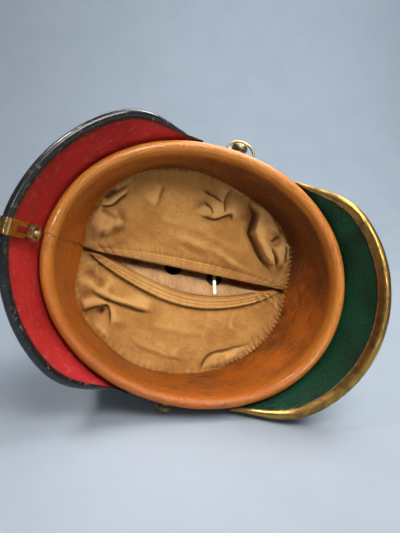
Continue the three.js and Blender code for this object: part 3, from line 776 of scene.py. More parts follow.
@dataclass(frozen=True)
class Brass(Finish):
    """Brass with brown tarnish, bright where it is rubbed and pale with residue along a lip."""

    name: str
    bright: Colour
    tarnish: Colour
    tarnish_from: float
    rough: float
    dents: float = 0.00025
    lip: bool = False
    residue: Colour = (0.62, 0.6, 0.5)

    def dress(self, b: Bench) -> None:
        """Builds the shader tree.

        Args:
            b: Bench of the material.
        """
        place = b.place()
        cloud = b.noise(place, 75, 9, 0.66, 0.4)
        specks = b.noise(place, 900, 4, 0.6)
        darkening = b.ramp(cloud, self.tarnish_from, self.tarnish_from + 0.22)
        colour = b.tint(b.mix(darkening, self.bright, self.tarnish), self.tarnish, specks, 0.6, 0.7, 0.55)
        rough = b.blend(darkening, self.rough, self.rough + 0.22)
        if self.lip:
            rubbed = b.times(b.value("lip"), b.ramp(b.noise(place, 360, 6, 0.74), 0.44, 0.56))
            colour = b.mix(rubbed, colour, self.residue)
            rough = b.blend(rubbed, rough, 0.8)
            b.set(Metallic=b.sum("SUBTRACT", 1.0, rubbed))
        else:
            b.set(Metallic=1.0)
        b.set(Base_Color=colour, Roughness=rough)
        scratches = b.noise(b.stretch(place, (40, 900, 900), 15), 1, 5, 0.6)
        b.relief((b.noise(place, 160, 5), self.dents), (scratches, 0.00003), (specks, 0.00004))


@dataclass(frozen=True)
class TanLeather(Finish):
    """Orange tan leather, smooth with a painted sheen on its rolled edge, and darker inside the front and
    along the top as it lies.
    """

    name: str = "tan_leather"
    colour: Colour = (0.41, 0.105, 0.009)
    # Paler tone of the rolled edge's painted sheen and of fine specks.
    pale: Colour = (0.54, 0.185, 0.022)
    dark: Colour = (0.075, 0.024, 0.009)

    def dress(self, b: Bench) -> None:
        """Builds the shader tree.

        Args:
            b: Bench of the material.
        """
        place, roll = b.place(), b.value("roll")
        cloud = b.noise(place, 55, 7, 0.6)
        fine = b.noise(place, 420, 6, 0.65)
        streak = b.noise(b.stretch(b.run(), (90, 240, 1)), 1, 8, 0.74, 0.6)
        # Paler on the rolled edge: a painted sheen.
        colour = b.mix(b.ramp(b.sum("ADD", roll, b.swing(cloud, 0.9)), 0, 1), self.colour, self.pale)
        # Darker from scuffs, the seam and the front, and painted shade along the top as it lies.
        grime_and_shade = b.sum("ADD", b.sum("ADD", b.value("soil_and_shade"), b.swing(streak, 2.2)), b.swing(cloud, 2.4))
        colour = b.tint(colour, self.dark, grime_and_shade, 0, 1.1, 0.8)
        colour = b.tint(colour, self.pale, fine, 0.62, 0.74, 0.2)
        b.set(Base_Color=colour, Roughness=b.blend(b.ramp(fine, 0.35, 0.7), 0.34, 0.55))
        b.set(Specular_IOR_Level=0.35, Coat_Weight=b.blend(roll, 0.08, 0.4), Coat_Roughness=0.12)
        b.relief((b.noise(place, 130, 5), 0.0006), (b.cells(place, 950), 0.0003), (streak, 0.00012))


@dataclass(frozen=True)
class Cotton(Finish):
    """Brown plain-weave cotton, with painted shade in its folds and along the top near the band, and lighter
    ridges from rubbing and a painted highlight.
    """

    name: str = "lining_cotton"
    colour: Colour = (0.44, 0.205, 0.052)
    faded: Colour = (0.58, 0.315, 0.096)
    # Lighter colour of ridges: rubbing and a painted highlight.
    rubbed: Colour = (0.76, 0.45, 0.165)
    # Darker colour of slubs and weave, and painted shade in folds.
    deep: Colour = (0.17, 0.06, 0.014)
    # Painted shade in folds and along the top near the band.
    darkening: Colour = (0.07, 0.024, 0.007)
    thread: float = 0.0008

    def dress(self, b: Bench) -> None:
        """Builds the shader tree.

        Args:
            b: Bench of the material.
        """
        place, run, rubbing_and_fold_shading = b.place(), b.run(), b.value("rubbing_and_fold_shading")
        warp, weft = (b.threads(run, self.thread, axis) for axis in "XY")
        weave = b.times(b.sum("ADD", warp, weft), 0.5)
        fleck = b.noise(b.stretch(run, (300, 1600, 1)), 1, 4, 0.7)
        colour = b.mix(b.ramp(b.noise(place, 40, 6, 0.6), 0.34, 0.66), self.colour, self.faded)
        for value, low, high, most, other in (
            (fleck, 0.47, 0.66, 0.36, self.deep), (weave, 0.6, 0.2, 0.3, self.deep),
            # Lighter ridges from rubbing and a painted highlight; darker folds as painted shade.
            (rubbing_and_fold_shading, 0.5, 0.95, 0.65, self.rubbed), (rubbing_and_fold_shading, 0.5, 0.04, 0.6, self.deep),
            # Painted shade in folds and along the top near the band.
            (b.value("painted_shade"), 0.1, 0.75, 0.6, self.darkening),
        ):
            colour = b.tint(colour, other, value, low, high, most)
        b.set(Base_Color=colour, Roughness=0.92, Specular_IOR_Level=0.12)
        b.relief((b.noise(place, 130, 4), 0.0008), (weave, 0.0003), (fleck, 0.0002))


@dataclass(frozen=True)
class Plain(Finish):
    """Dull finish with a fine grain, for thread, washers and the floor's paper."""

    name: str
    colour: Colour
    other: Colour
    rough: float
    scale: float = 400

    def dress(self, b: Bench) -> None:
        """Builds the shader tree.

        Args:
            b: Bench of the material.
        """
        grain = b.noise(b.place(), self.scale, 5, 0.65)
        b.set(Base_Color=b.mix(b.ramp(grain, 0.38, 0.64), self.colour, self.other), Roughness=self.rough)
        b.relief((grain, 0.0002))


class Finishes:
    """Every material of the helmet, each made once."""

    def __init__(self) -> None:
        """Makes the materials."""
        self.lacquer = Lacquer().make()
        self.crown = BareLeather().make()
        self.green = PebbledPaint(
            "green_paint", (0.001, 0.07, 0.028), (0.001, 0.026, 0.011), (0.008, 0.11, 0.048),
            grain=820, depth=0.0008, wear_from=0.58, rough=0.36, hollow=0.55).make()
        self.red = PebbledPaint(
            "red_paint", (0.5, 0.018, 0.016), (0.32, 0.01, 0.01), (0.52, 0.1, 0.08),
            grain=800, depth=0.00022, wear_from=0.51, rough=0.48).make()
        self.binding = EdgeBinding().make()
        self.trim = Brass("trim_brass", (0.46, 0.28, 0.075), (0.2, 0.115, 0.035), 0.4, 0.32, lip=True).make()
        self.brass = Brass("brass", (0.78, 0.5, 0.16), (0.26, 0.16, 0.06), 0.5, 0.22, 0.00012).make()
        self.old_brass = Brass(
            "old_brass", (0.44, 0.34, 0.18), (0.14, 0.11, 0.055), 0.42, 0.32, 0.0001).make()
        self.nut_brass = Brass(
            "nut_brass", (0.62, 0.44, 0.21), (0.26, 0.18, 0.09), 0.44, 0.34, 0.0001).make()
        self.stud_brass = Brass("stud_brass", (1.0, 0.82, 0.45), (0.7, 0.5, 0.22), 0.6, 0.3, 0.00003).make()
        self.tan = TanLeather().make()
        self.cotton = Cotton().make()
        self.thread = Plain("thread", (0.32, 0.14, 0.035), (0.46, 0.22, 0.06), 0.85, 900).make()
        self.washer = Plain("washer_leather", (0.03, 0.02, 0.014), (0.07, 0.045, 0.03), 0.6).make()


# Shell


@dataclass
class Shell:
    """Hard leather skull, open at the rim, with the vent hole in its crown."""

    half_length: float = 102.8
    half_width: float = 87.2
    height: float = 120
    rim_wall: float = 2.6
    crown_wall: float = 1.5
    plan_power: float = 2.06
    side_power: float = 4.8
    crown_power: float = 2.2
    apex: Pair = (-5, -2.9)
    vent_radius: float = 8
    round_from: float = 0.3
    inner_wave: Wave = Wave(0.12, 14, 2, 5)
    outer_wave: Wave = Wave(0.15, 25, 2, 9)
    row_power: float = 0.92
    columns: int = 240
    rows: int = 84

    def oval(
        self, half_length: Array, half_width: Array, angle: Array,
        centre: tuple[Array, Array] = (0, 0), height: Array = 0,
    ) -> Array:
        """Points of the helmet's oval plan at angles from the front.

        Args:
            half_length: Half length of the oval.
            half_width: Half width of the oval.
            angle: Angles in radians.
            centre: Middle of the oval.
            height: Height of the points.

        Returns:
            The points.
        """
        power = 2 / self.plan_power
        x = centre[0] + half_length * signed_power(np.cos(angle), power)
        y = centre[1] + half_width * signed_power(np.sin(angle), power)
        return vec(x, y, height).astype(float)

    def profile(self, fraction: Array) -> tuple[Array, Array]:
        """Share of the plan and height along the half profile.

        Args:
            fraction: 0 at the rim to 1 at the apex.

        Returns:
            The share and the height.
        """
        angle = math.pi / 2 * np.linspace(0, 1, 800) ** 2
        share = np.cos(angle) ** (2 / self.crown_power)
        height = self.height * np.sin(angle) ** (2 / self.side_power)
        run = running(np.hypot(np.diff(share) * self.half_width, np.diff(height)))
        run /= run[-1]
        return np.interp(fraction, run, share), np.interp(fraction, run, height)

    def section_centre(self, height: Array) -> tuple[Array, Array]:
        """Middle, in x and y, of the section at a height above the rim."""
        lean = (np.maximum(height, 0) / self.height) ** 2
        return self.apex[0] * lean, self.apex[1] * lean

    def share_at(self, points: Array) -> tuple[Array, Array, Array]:
        """Place of points in the plan of their section.

        Args:
            points: Points near the shell.

        Returns:
            Shares along and across, and the share of the whole oval.
        """
        centre = self.section_centre(points[..., 2])
        x = (points[..., 0] - centre[0]) / self.half_length
        y = (points[..., 1] - centre[1]) / self.half_width
        share = (np.abs(x) ** self.plan_power + np.abs(y) ** self.plan_power) ** (1 / self.plan_power)
        return x, y, np.maximum(share, 1e-6)

    def outward(self, points: Array) -> Array:
        """Outward directions at points of the outside.

        Args:
            points: Points of the outside.

        Returns:
            Unit vectors.
        """
        x, y, share = self.share_at(points)
        plan = self.plan_power - 1
        pull = self.crown_power * share ** (self.crown_power - self.plan_power)
        height = np.maximum(points[..., 2], 0) / self.height
        return unit(vec(
            pull * signed_power(x, plan) / self.half_length, pull * signed_power(y, plan) / self.half_width,
            self.side_power * height ** (self.side_power - 1) / self.height))

    def crown_height(self, x: Array, y: Array) -> Array:
        """Height of the outside above places on the plan, by halving.

        Args:
            x: Places to the front.
            y: Places to the left.

        Returns:
            The heights.
        """
        low = np.zeros_like(x, float)
        high = np.full_like(low, self.height)
        for _ in range(40):
            middle = (low + high) / 2
            share = self.share_at(vec(x, y, middle))[2]
            inside = share**self.crown_power + (middle / self.height) ** self.side_power < 1
            low = np.where(inside, middle, low)
            high = np.where(inside, high, middle)
        return low

    def build(self, finishes: Finishes) -> None:
        """Builds the dressed shell.

        Args:
            finishes: Materials.
        """
        u, v = grid(self.columns, self.rows, closed=True)
        mean = math.sqrt(self.half_length * self.half_width)
        vent_share = self.vent_radius / mean
        fine = np.linspace(0, 1, 4000)
        fraction = v**self.row_power * fine[np.argmax(self.profile(fine)[0] <= vent_share)]
        share, height = self.profile(fraction)
        angle = u * 2 * math.pi
        oval = self.oval(self.half_length * share, self.half_width * share, angle)
        circle = vec(np.cos(angle), np.sin(angle), 0) * (share * mean)[..., None]
        round_share = smooth_step(share, self.round_from, vent_share)[..., None]
        plan = oval * (1 - round_share) + circle * round_share
        centre = self.section_centre(height)
        outer = vec(plan[..., 0] + centre[0], plan[..., 1] + centre[1], height)
        outward = self.outward(outer)
        thick = self.rim_wall + (self.crown_wall - self.rim_wall) * fraction
        inner = outer - outward * thick[..., None]
        inner += outward * self.inner_wave.at(inner)[..., None]
        outer += outward * self.outer_wave.at(outer)[..., None]
        solid = wall(outer, inner, closed=True, finishes=(0, 1, 1))
        solid.piece("shell_leather", "shell_leather", "shell", finishes.lacquer, finishes.crown)


SHELL = Shell()


# Visors and their edges


@dataclass
class Visor:
    """Leather peak stitched round one end of the rim."""

    node: str
    slot: str
    facing: int
    end_x: float
    centre_x: float
    reach: float
    right_width: float
    left_width: float
    power: float
    turn: float
    shell_turn: float
    slope: float
    thickness: float
    end_drop: float
    wave: Wave
    flange: float = 6
    bend_out: float = 0.4
    bend_drop: float = 2
    end_power: float = 8
    seat: float = 0.3
    tuck_from: float = 0.6
    tuck_power: float = 2
    tuck_out: float = 0.2
    tuck_height: float = 1
    tuck_thin: float = 0.7
    edge_step: float = 0.02
    columns: int = 240
    rows: int = 44

    def tuck(self, u: Array) -> Array:
        """How far the ends are drawn in against the shell: 0 in the middle to 1 at the ends."""
        return np.clip((np.abs(2 * u - 1) - self.tuck_from) / (1 - self.tuck_from), 0, 1) ** self.tuck_power

    def half_thickness(self, u: Array) -> Array:
        """Half of the leather's thickness, which thins towards the ends."""
        return self.thickness / 2 * (1 - self.tuck_thin * self.tuck(u))

    def surface(self, u: Array, v: Array) -> Array:
        """Middle surface: u from the right end to the left end, v from the shell to the free edge.

        Args:
            u: First parameter.
            v: Second parameter.

        Returns:
            The points.
        """
        swing = 2 * u - 1
        angle = swing * math.radians(self.turn)
        x = self.centre_x + self.facing * self.reach * signed_power(np.cos(angle), 2 / self.power)
        width = np.where(swing < 0, self.right_width, self.left_width)
        y = width * signed_power(np.sin(angle), 2 / self.power)
        edge = vec(x, y, -self.end_drop - self.slope * np.abs(x - self.end_x))
        root = SHELL.oval(
            self.facing * SHELL.half_length, SHELL.half_width, swing * math.radians(self.shell_turn))
        outward = SHELL.outward(root)
        seat = self.seat + self.thickness / 2
        seam, bend, tucked = (root + outward * (seat + out) for out in (0, self.bend_out, self.tuck_out))
        seam[..., 2] = self.flange
        bend[..., 2] = -self.bend_drop
        tucked[..., 2] = self.tuck_height
        ended = (np.abs(swing) ** self.end_power)[..., None]
        tuck = self.tuck(u)[..., None]
        edge = edge * (1 - tuck) + tucked * tuck
        bend = bend * (1 - ended) + (seam + edge) / 2 * ended
        v = v[..., None]
        return seam * (1 - v) ** 2 + bend * 2 * v * (1 - v) + edge * v**2

    def upward(self, u: Array, v: Array) -> Array:
        """Upper unit normals of the surface."""
        return -self.facing * normals_of(self.surface, u, v)

    def over_edge(self, u: Array) -> Array:
        """Unit directions in which the surface runs out over its free edge."""
        inner = self.surface(u, np.full_like(u, 1 - self.edge_step))
        return unit(self.surface(u, np.ones_like(u)) - inner)

    def build(self, under: Material, over: Material) -> None:
        """Builds the leather.

        Args:
            under: Material of the underside.
            over: Material of the upper side and the edges.
        """
        u, v = grid(self.columns, self.rows)
        middle = self.surface(u, v)
        upward = self.upward(u, v)
        wave = (self.wave.at(middle) * v * (1 - v) * 4)[..., None]
        half = self.half_thickness(u)[..., None]
        solid = wall(middle + upward * half, middle - upward * (half + wave), finishes=(1, 0, 1))
        solid.piece(f"{self.node}_leather", self.slot, self.node, under, over)


@dataclass
class EdgeChannel:
    """Strip folded round a visor's free edge."""

    node: str
    slot: str
    visor: Visor
    thickness: float
    flange_middle: float
    flange_end: float
    bulge: float
    dent: Wave
    gap: float = 0.4
    taper: float = 3
    widest: float = 0.55
    end_slim: float = 0.85
    lip: float = 1.3
    lip_least: float = 0.02
    dent_shift: float = 40
    row_power: float = 1.5
    flat_rows: int = 14
    turn_rows: int = 14

    def build(self, finish: Material) -> None:
        """Builds the strip, row by row: over the visor, round its edge and back under it.

        Args:
            finish: Material.
        """
        visor = self.visor
        u = np.linspace(0, 1, visor.columns + 1)
        free = np.ones_like(u)
        reach = norm(visor.surface(u, free) - visor.surface(u, 0 * u))
        flange = self.flange_middle + (self.flange_end - self.flange_middle) * np.abs(2 * u - 1) ** self.taper
        flange = np.minimum(flange, self.widest * reach)
        slim = 1 - self.end_slim * visor.tuck(u)
        inside = visor.half_thickness(u) + self.gap * slim
        tops, bottoms, lips, crests = [], [], [], []
        shares = 1 - np.linspace(0, 1, self.flat_rows) ** self.row_power
        turns = np.linspace(0, math.pi, self.turn_rows + 2)[1:-1]
        rows = [(1, share) for share in shares] + [(0, turn) for turn in turns]
        rows += [(-1, share) for share in shares[::-1]]
        for side, place in rows:
            across = 1 - place * flange / reach if side else free
            base = visor.surface(u, across)
            direction = visor.upward(u, across)
            if side:
                direction = direction * side
                tip = np.clip(1 - (1 - place) * flange / self.lip, 0, 1)
                thick = self.thickness * slim * np.sqrt(np.maximum(1 - tip**2, self.lip_least))
                crest = np.sin(math.pi * np.clip(0.5 + 0.5 * place, 0, 1))
            else:
                direction = direction * math.cos(place) + visor.over_edge(u) * math.sin(place)
                tip = 0 * u
                thick = self.thickness * slim
                crest = 1.0
            thick = thick + self.bulge * crest * slim
            low = base + direction * inside[:, None]
            dent = self.dent.at(base + self.dent_shift * side)
            bottoms.append(low)
            tops.append(low + direction * (thick + dent * (1 - tip))[:, None])
            lips.append(smooth_step(tip, 0.1, 0.9))
            crests.append(np.full_like(u, crest))
        values = {"lip": np.stack(lips, axis=1), "crest": np.stack(crests, axis=1)}
        solid = wall(np.stack(tops, axis=1), np.stack(bottoms, axis=1), values=values)
        solid.piece(f"{self.node}_strip", self.slot, self.node, finish, crease=60)


FRONT_VISOR = Visor(
    "front_visor", "green_leather", facing=1, end_x=46.5, centre_x=46.5, reach=74, right_width=84.5,
    left_width=82, power=2, turn=89, shell_turn=64.2, slope=0.36, thickness=3, end_drop=1.6,
    wave=Wave(0.16, 16, 3, 11))
REAR_VISOR = Visor(
    "rear_visor", "red_leather", facing=-1, end_x=-24, centre_x=-46, reach=73.2, right_width=92,
    left_width=90.3, power=1.8, turn=104, shell_turn=78, slope=0.385, thickness=2.2, end_drop=1,
    wave=Wave(0.16, 16, 3, 17))
FRONT_TRIM = EdgeChannel(
    "front_trim", "brass", FRONT_VISOR, thickness=1.3, flange_middle=3.1, flange_end=1.2,
    bulge=0.1, dent=Wave(0.14, 11, 3, 23))
REAR_EDGING = EdgeChannel(
    "rear_edging", "black_edging", REAR_VISOR, thickness=1.1, flange_middle=2.4, flange_end=1.2,
    bulge=0.3, dent=Wave(0.14, 11, 3, 29))


# Rear spine with its screw and nut


@dataclass
class Spine:
    """Brass strap down the back, folded round the rear visor's edge into a slotted tab; screw and nut."""

    width: float = 9.6
    thickness: float = 0.8
    crown: float = 0.22
    seat: float = 0.45
    above_flange: float = 8
    below_base: float = 1.5
    base_radius: float = 44.5
    turn: float = -1.8
    above_from: Pair = (0.02, 0.97)
    tab_from: Pair = (0.98, 0.5)
    over_edging_from: Pair = (0.7, 0.8)
    slot: Pair = (0.72, 0.92)
    slot_width: float = 4.6
    slot_corner: float = 1.2
    screw_share: float = 0.64
    shank_radius: float = 2.2
    clamp_gap: float = 0.3
    thread_pitch: float = 0.85
    thread_depth: float = 0.28
    thread_rows: int = 150
    thread_sides: int = 40
    head_radius: float = 4.2
    head_height: float = 2.4
    stand_out: float = 2.4
    nut_corners: float = 11.5
    nut_thickness: float = 3.6
    nut_sink: float = 0.7
    nut_sides: int = 120
    across_steps: int = 24

    @property
    def low(self) -> float:
        """Height of the strap's middle line over the visor's middle surface."""
        return REAR_VISOR.thickness / 2 + self.seat + self.thickness / 2

    @property
    def face(self) -> float:
        """Height at which the screw's head and the nut bear on the strap."""
        return REAR_VISOR.thickness / 2 + self.seat + self.thickness + self.clamp_gap

    def beside(self, share: Array, sign: int) -> Array:
        """Middle line beside the rear visor.

        Args:
            share: Share of the way from the shell to the free edge.
            sign: 1 above the visor, -1 below it.

        Returns:
            Points of the line.
        """
        step = REAR_EDGING.thickness + REAR_EDGING.gap
        lift = self.low + step * smooth_step(share, *self.over_edging_from)
        half = np.full_like(share, 0.5)
        return REAR_VISOR.surface(half, share) + REAR_VISOR.upward(half, share) * (sign * lift)[:, None]

    def line(self) -> tuple[Array, Array]:
        """Middle line from the spike's base to the end of the tab.

        Returns:
            Its points in the middle plane, and the visor share of the points of the tab (2 elsewhere).
        """
        fine = np.linspace(0, 1, 3000)
        share, height = SHELL.profile(fine)
        bottom = fine[np.argmax(height >= REAR_VISOR.flange + self.above_flange)]
        top = fine[np.argmax(share * SHELL.half_length <= self.base_radius + self.below_base)]
        share, height = SHELL.profile(np.linspace(top, bottom, 90))
        centre = SHELL.section_centre(height)
        shell = vec(centre[0] - SHELL.half_length * share, centre[1], height)
        shell += SHELL.outward(shell) * (self.seat + self.thickness / 2)
        above = np.linspace(*self.above_from, 60)
        below = np.linspace(*self.tab_from, 90)
        lift = self.low + REAR_EDGING.thickness + REAR_EDGING.gap
        half = np.array([0.5])
        edge = REAR_VISOR.surface(half, half * 2)[0]
        upward = REAR_VISOR.upward(half, half * 2)[0]
        angle = np.linspace(0, math.pi, 26)[:, None]
        fold = edge + upward * lift * np.cos(angle) + REAR_VISOR.over_edge(half)[0] * lift * np.sin(angle)
        points = np.concatenate([shell, self.beside(above, 1), fold, self.beside(below, -1)])
        return points, np.concatenate([np.full(len(points) - len(below), 2.0), below])

    def turned_about_up(self, points: Array) -> Array:
        """Points of the middle plane's frame, turned about the upright axis by the spine's skew."""
        cos, sin = math.cos(math.radians(self.turn)), math.sin(math.radians(self.turn))
        return points @ np.array([[cos, sin, 0], [-sin, cos, 0], [0, 0, 1]])

    def strap(self) -> Solid:
        """The strap with its slot.

        Returns:
            The solid.
        """
        line, shares = self.line()
        line[:, 1] = 0
        run = unit(np.gradient(line, axis=0))
        outward = vec(-run[:, 2], 0, run[:, 0])[:, None]
        reach = np.linspace(-1, 1, self.across_steps + 1) * self.width / 2
        spot = crossed(shares, reach)
        first, last = self.slot
        ends = REAR_VISOR.surface(np.full(2, 0.5), np.array(self.slot))
        long = norm(ends[1] - ends[0])
        along = (spot[..., 0] - (first + last) / 2) * long / (last - first)
        corner = np.array([long / 2, self.slot_width / 2]) - self.slot_corner
        inside = norm(np.maximum(np.abs(vec(along, spot[..., 1])) - corner, 0)) < self.slot_corner
        crown = self.crown * (1 - (reach / (self.width / 2)) ** 4)
        middle = np.repeat(line[:, None], len(reach), axis=1)
        middle[..., 1] = reach
        lift = outward * self.thickness / 2
        top, bottom = middle + lift + outward * crown[None, :, None], middle - lift
        keep = ~quads(inside).all(axis=2)
        return wall(self.turned_about_up(top), self.turned_about_up(bottom), keep=keep)

    def screw(self) -> Solid:
        """The screw with its thread below and its head above.

        Returns:
            The solid.
        """
        face, wide, high = self.face, self.head_radius, self.head_height
        reach = face + self.nut_thickness + self.stand_out
        heights = np.linspace(-reach + 0.35, face - 0.1, self.thread_rows)
        thread = [(0, -reach), (self.shank_radius * 0.8, -reach)]
        thread += [(self.shank_radius, height) for height in heights]
        head = rounded([
            (self.shank_radius, face), (wide, face), (wide * 0.92, face + high * 0.45),
            (wide * 0.6, face + high * 0.85), (0, face + high)], 0.8)
        profile = np.concatenate([np.array(thread), head])
        ripple = np.zeros((len(profile), self.thread_sides))
        phase = profile[:, 1:] / self.thread_pitch + np.arange(self.thread_sides)[None] / self.thread_sides
        cut = slice(2, self.thread_rows + 2)
        ripple[cut] = -self.thread_depth * np.abs(2 * (phase % 1) - 1)[cut]
        return turned(profile, self.thread_sides, ripple)

    def nut(self) -> Solid:
        """The six-sided nut with eased corners and a raised rim round its bore.

        Returns:
            The solid.
        """
        angle, radius, high = around(self.nut_sides), self.nut_corners / 2, self.nut_thickness
        flat = np.cos(math.pi / 6) / np.cos((angle + math.pi / 6) % (math.pi / 3) - math.pi / 6)
        profile = rounded([
            (0, 0), (radius * 0.9, 0), (radius, 0.5), (radius, high - 0.7), (radius * 0.84, high),
            (self.shank_radius + 0.9, high), (self.shank_radius + 0.2, high - self.nut_sink),
            (0, high - self.nut_sink)], 0.3)
        hexed = smooth_step(profile[:, :1], radius * 0.55, radius * 0.8)
        ripple = np.minimum(profile[:, :1], radius * flat[None]) - profile[:, :1]
        return turned(profile, self.nut_sides, ripple * hexed)

    def build(self, finishes: Finishes) -> None:
        """Builds strap, screw and nut.

        Args:
            finishes: Materials.
        """
        self.strap().piece("rear_spine_strap", "brass", "rear_spine", finishes.brass, crease=50)
        half, share = np.array([0.5]), np.array([self.screw_share])
        point = self.turned_about_up(REAR_VISOR.surface(half, share))[0]
        outward = self.turned_about_up(REAR_VISOR.upward(half, share))[0]
        screw = self.screw().moved(point, outward)
        screw.piece("spine_screw_turned", "old_brass", "spine_screw", finishes.nut_brass)
        nut = self.nut().moved(point - outward * self.face, -outward)
        nut.piece("spine_nut_hex", "old_brass", "spine_nut", finishes.nut_brass, crease=30)


# Sweatband and lining


@dataclass(frozen=True)
class BandRow:
    """Oval section of the sweatband's middle surface."""

    height: float
    half_length: float
    half_width: float
    centre_x: float


@dataclass(frozen=True)
class EdgeWave:
    """How far the band's free edge stands out at an angle from the front."""

    degrees: float
    out: float


BAND_ROWS = (
    BandRow(-1.3, 102.0, 86.4, 0), BandRow(-3.6, 101.3, 85.7, 0), BandRow(-4.7, 99.6, 84.0, 0),
    BandRow(-3.6, 97.3, 81.7, 0), BandRow(-0.8, 96.2, 80.6, 0), BandRow(8, 95.2, 79.9, 0),
    BandRow(22, 91.8, 79.0, -0.6), BandRow(36, 86.6, 78.0, -1.4), BandRow(50, 80.0, 77.0, -2),
)
EDGE_WAVES = (
    EdgeWave(-160, 5), EdgeWave(-145, 5), EdgeWave(-118, 4), EdgeWave(-100, 1.5), EdgeWave(-80, -2.5),
    EdgeWave(-50, 2), EdgeWave(-32, 5), EdgeWave(-10, -2), EdgeWave(15, 0), EdgeWave(40, -1),
    EdgeWave(75, 0.5), EdgeWave(108, 3), EdgeWave(123, 0.5), EdgeWave(142, 4.5), EdgeWave(154, 5),
    EdgeWave(174, -2),
)


def edge_out(angle: Array, reach: float = 16) -> Array:
    """How far the band's free edge stands out.

    Args:
        angle: Angles from the front in radians.
        reach: Degrees over which neighbours blend.

    Returns:
        Millimetres outward.
    """
    total, weights = 0, 1e-6
    for wave in EDGE_WAVES:
        weight = bump((np.degrees(angle) - wave.degrees + 180) % 360 - 180, reach)
        total = total + weight * wave.out
        weights = weights + weight
    return total / weights


@dataclass(frozen=True)
class Smear:
    """Darkening on one side of the band: its middle, its strength and the cosines between which it fades in.
    """

    degrees: float
    strength: float
    low: float
    high: float

    def share(self, degrees: Array) -> Array:
        """How far the dirt is there at angles from the front: 0 to 1."""
        return smooth_step(np.cos(np.radians(degrees - self.degrees)), self.low, self.high)


FRONT_SMEAR = Smear(-28, 0.4, 0.2, 0.95)


@dataclass
class Sweatband:
    """Tan leather band, rolled over the rim and standing up inside the hollow, with a seam at the back."""

    thickness: float = 2
    columns: int = 360
    rows: int = 96
    edge_from: float = 0.45
    roll_middle: float = 0.12
    roll_width: float = 0.1
    wave: Wave = Wave(0.22, 26, 2, 41)
    fine_wave: Wave = Wave(0.1, 7, 2, 43)
    seam_degrees: float = 178.5
    seam_width: float = 0.9
    seam_sharpness: float = 1.7
    seam_reach: float = 2.5
    seam_crowding: float = 8
    seam_depth: float = 0.55
    seam_wander: float = 0.7
    seam_waves: float = 14
    seam_step: float = 0.5
    seam_soil: float = 0.6
    # Darker inside the left side, the front and the top as it lies; the one on top at -70 degrees is painted
    # shade.
    smears: tuple[Smear, ...] = (Smear(75, 0.28, 0.1, 1), FRONT_SMEAR, Smear(-70, 0.7, 0.2, 1))
    edge_soil: float = 0.15
    edge_soil_from: float = 0.6
    roll_soil: float = 0.05
    inside_from: Pair = (0.2, 0.34)
    rolled_to: Pair = (0.16, 0.3)
    low_sheen_cut: float = 0.85

    def section(self, v: Array) -> list[Array]:
        """Sizes of the band along its width.

        Args:
            v: 0 at the tuck under the shell to 1 at the free edge.

        Returns:
            Height, half length, half width and centre.
        """
        table = np.array([[r.height, r.half_length, r.half_width, r.centre_x] for r in BAND_ROWS])
        knots = running(norm(np.diff(table[:, :2], axis=0)))
        curve = through_rows(table, knots, np.clip(v, 0, 1) * knots[-1])
        return [curve[..., k] for k in range(4)]

    def surface(self, u: Array, v: Array) -> Array:
        """Middle surface: u round from the front, v from the tuck to the free edge.

        Args:
            u: First parameter.
            v: Second parameter.

        Returns:
            The points.
        """
        height, half_length, half_width, centre_x = self.section(v)
        angle = u * 2 * math.pi
        out = edge_out(angle) * smooth_step(v, self.edge_from, 1)
        return SHELL.oval(half_length + out, half_width + out, angle, (centre_x, 0), height)

    def crowded(self, u: Array) -> Array:
        """Columns moved closer together at the seam.

        Args:
            u: Even columns.

        Returns:
            The moved columns.
        """
        fine = np.linspace(0, 1, 3601)
        crowd = np.cumsum(1 + self.seam_crowding * bump(fine * 360 - self.seam_degrees, self.seam_reach))
        return np.interp(u, (crowd - crowd[0]) / (crowd[-1] - crowd[0]), fine)

    def soil_and_shade(self, degrees: Array, v: Array) -> Array:
        """Darkening of the band: most inside the front and along the top as it lies, where it is painted
        shade.

        Args:
            degrees: Angle from the front.
            v: 0 at the tuck to 1 at the free edge.

        Returns:
            0 for none to about 1.
        """
        worn = sum(smear.strength * smear.share(degrees) for smear in self.smears)
        worn = worn + self.edge_soil * smooth_step(v, self.edge_soil_from, 1)
        return worn * smooth_step(v, *self.inside_from) + self.roll_soil * FRONT_SMEAR.share(degrees)

    def build(self, finishes: Finishes) -> None:
        """Builds the band.

        Args:
            finishes: Materials.
        """
        u, v = grid(self.columns, self.rows, closed=True)
        u = self.crowded(u)
        middle = self.surface(u, v)
        normal = grid_normals(middle, True)
        normal = normal * (-np.sign(np.sum(normal[:, -1] * middle[:, -1] * [1, 1, 0])) or 1)
        off_roll = 1 - bump(v - self.roll_middle, self.roll_width)
        wave = self.wave.at(middle) + self.fine_wave.at(middle) * off_roll
        degrees = np.degrees(u * 2 * math.pi)
        from_seam = degrees - self.seam_degrees
        wander = self.seam_wander * noise_at(47, self.seam_waves * v)
        seam = bump(from_seam - wander, self.seam_width / self.seam_sharpness)
        lap = self.seam_step * smooth_step(from_seam, -0.6, 0.2) * (1 - smooth_step(from_seam, 1, 14))
        face = middle + normal * (self.thickness / 2 + wave + lap - seam * self.seam_depth)[..., None]
        back = middle - normal * (self.thickness / 2)
        # Painted sheen on the rolled edge, weaker along the bottom as it lies.
        rolled = 1 - smooth_step(v, *self.rolled_to)
        rolled = rolled * (1 - self.low_sheen_cut * smooth_step(np.sin(np.radians(degrees)), 0, 0.9))
        values = {"soil_and_shade": self.soil_and_shade(degrees, v) + self.seam_soil * seam, "roll": rolled}
        solid = wall(face, back, closed=True, values=values)
        solid.piece("sweatband_leather", "tan_leather", "sweatband", finishes.tan, crease=50)


BAND = Sweatband()
Path = tuple[Pair, ...]


